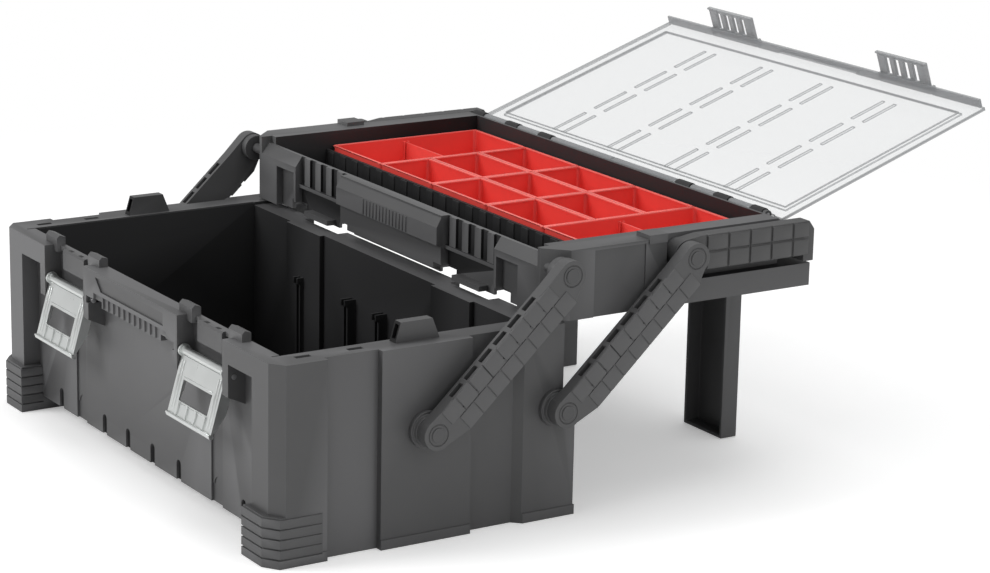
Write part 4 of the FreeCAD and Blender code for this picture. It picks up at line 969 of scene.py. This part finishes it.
@dataclass
class Studio:
    """Pale floor, soft lamps and the camera of the photograph."""

    floor_size: float = 14.0
    floor_drop: float = 0.0002
    ambient: float = 0.45
    eye: tuple[float, float, float] = (2.4228, -1.3007, 0.89995)
    azimuth: float = 57.44
    elevation: float = 14.93
    roll: float = 1.20
    lens: float = 109.98
    sensor: float = 36.0
    clip: tuple[float, float] = (0.05, 60.0)
    lights: tuple[tuple[str, Point, Point, float, float], ...] = (
        ("key", (-1.0, -2.7, 1.9), (0.0, 0.1, 0.12), 1.5, 54.0),
        ("fill", (2.6, 0.6, 1.6), (0.1, 0.1, 0.15), 1.6, 11.0),
        ("top", (0.0, 0.4, 3.0), (0.0, 0.2, 0.1), 2.2, 36.0),
    )
    floor_grey: Point = (0.93, 0.93, 0.93)
    floor_glow: float = 0.3
    fade_range: tuple[float, float] = (0.55, 1.5)

    def build(self) -> None:
        """Build the whole studio."""
        self.world()
        self.floor()
        self.lamps()
        self.camera()

    def world(self) -> None:
        """White surroundings: plain light for the object, white to the camera."""
        world = bpy.data.worlds.new("studio")
        bpy.context.scene.world = world
        world.use_nodes = True
        tree = world.node_tree
        sky = tree.nodes["Background"]
        sky.inputs["Color"].default_value = (1.0, 1.0, 1.0, 1.0)
        path = NodeTools.add(tree, "ShaderNodeLightPath")
        seen = NodeTools.add(tree, "ShaderNodeMath", operation="MAXIMUM")
        NodeTools.link(tree, path.outputs["Is Camera Ray"], seen.inputs[0])
        NodeTools.link(tree, path.outputs["Is Transmission Ray"], seen.inputs[1])
        strength = NodeTools.add(tree, "ShaderNodeMapRange")
        strength.inputs["To Min"].default_value = self.ambient
        strength.inputs["To Max"].default_value = 1.0
        NodeTools.link(tree, seen.outputs[0], strength.inputs["Value"])
        NodeTools.link(tree, strength.outputs["Result"], sky.inputs["Strength"])

    def floor(self) -> None:
        """A pale floor that keeps the shadow."""
        place = (0.0, 0.0, -self.floor_drop)
        bpy.ops.mesh.primitive_plane_add(size=self.floor_size, location=place)
        item = bpy.context.active_object
        item.name = "floor"
        material = bpy.data.materials.new("floor_white")
        material.use_nodes = True
        tree = material.node_tree
        shader = tree.nodes["Principled BSDF"]
        shader.inputs["Base Color"].default_value = (*self.floor_grey, 1.0)
        shader.inputs["Roughness"].default_value = 0.8
        shader.inputs["Emission Color"].default_value = (1.0, 1.0, 1.0, 1.0)
        path = NodeTools.add(tree, "ShaderNodeLightPath")
        glow = NodeTools.add(tree, "ShaderNodeMath", operation="MULTIPLY")
        glow.inputs[1].default_value = self.floor_glow
        NodeTools.link(tree, path.outputs["Is Camera Ray"], glow.inputs[0])
        NodeTools.link(tree, glow.outputs[0], shader.inputs["Emission Strength"])
        self.whiten(tree, shader)
        item.data.materials.append(material)

    def whiten(self, tree: bpy.types.NodeTree, shader: bpy.types.Node) -> None:
        """Let the floor turn evenly white away from the box.

        Args:
            tree: The floor's node tree.
            shader: The floor's own shader.
        """
        add, link = NodeTools.add, NodeTools.link
        place = add(tree, "ShaderNodeTexCoord")
        reach = add(tree, "ShaderNodeVectorMath", operation="LENGTH")
        link(tree, place.outputs["Object"], reach.inputs[0])
        fade = add(tree, "ShaderNodeMapRange")
        fade.inputs["From Min"].default_value = self.fade_range[0]
        fade.inputs["From Max"].default_value = self.fade_range[1]
        link(tree, reach.outputs["Value"], fade.inputs["Value"])
        glow = add(tree, "ShaderNodeEmission")
        glow.inputs["Strength"].default_value = 1.0
        mix = add(tree, "ShaderNodeMixShader")
        link(tree, fade.outputs["Result"], mix.inputs["Fac"])
        link(tree, shader.outputs["BSDF"], mix.inputs[1])
        link(tree, glow.outputs["Emission"], mix.inputs[2])
        link(tree, mix.outputs["Shader"], tree.nodes["Material Output"].inputs["Surface"])

    def lamps(self) -> None:
        """A broad key from the front left, a fill and a light above."""
        for name, place, aim, size, power in self.lights:
            data = bpy.data.lights.new(name, "AREA")
            data.size = size
            data.energy = power
            item = bpy.data.objects.new(name, data)
            bpy.context.scene.collection.objects.link(item)
            item.location = place
            way = Vector(aim) - Vector(place)
            item.rotation_euler = way.to_track_quat("-Z", "Y").to_euler()

    def camera(self) -> None:
        """The camera, placed as solved from the photograph's straight edges."""
        turn, rise = math.radians(self.azimuth), math.radians(self.elevation)
        roll = math.radians(self.roll)
        level = math.cos(rise)
        look = Vector((-math.sin(turn) * level, math.cos(turn) * level, -math.sin(rise)))
        right = Vector((math.cos(turn), math.sin(turn), 0.0))
        up = right.cross(look)
        side = right * math.cos(roll) + up * math.sin(roll)
        above = up * math.cos(roll) - right * math.sin(roll)
        data = bpy.data.cameras.new("camera")
        data.lens = self.lens
        data.sensor_width = self.sensor
        item = bpy.data.objects.new("camera", data)
        bpy.context.scene.collection.objects.link(item)
        basis = Matrix((side, above, -look)).transposed().to_4x4()
        item.matrix_world = Matrix.Translation(Vector(self.eye)) @ basis
        data.clip_start, data.clip_end = self.clip
        bpy.context.scene.camera = item


def main() -> None:
    """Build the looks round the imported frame."""
    logging.basicConfig(level=logging.INFO, format="%(message)s")
    bpy.context.scene.view_settings.view_transform = "Standard"
    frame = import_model()
    finishes = Finishes().build()
    Dresser(frame, finishes).dress_all()
    RaisedPlates(finishes).build()
    TrayRibs(finishes).build()
    LeverBeads(finishes).build()
    bins = [name for name in frame["nodes"] if name.startswith(("bin_small", "bin_long"))]
    BinRims(finishes).build(bins)
    CatchSockets(finishes).build()
    HingeBarrels(finishes).build()
    Studio().build()


if __name__ == "__main__":
    main()
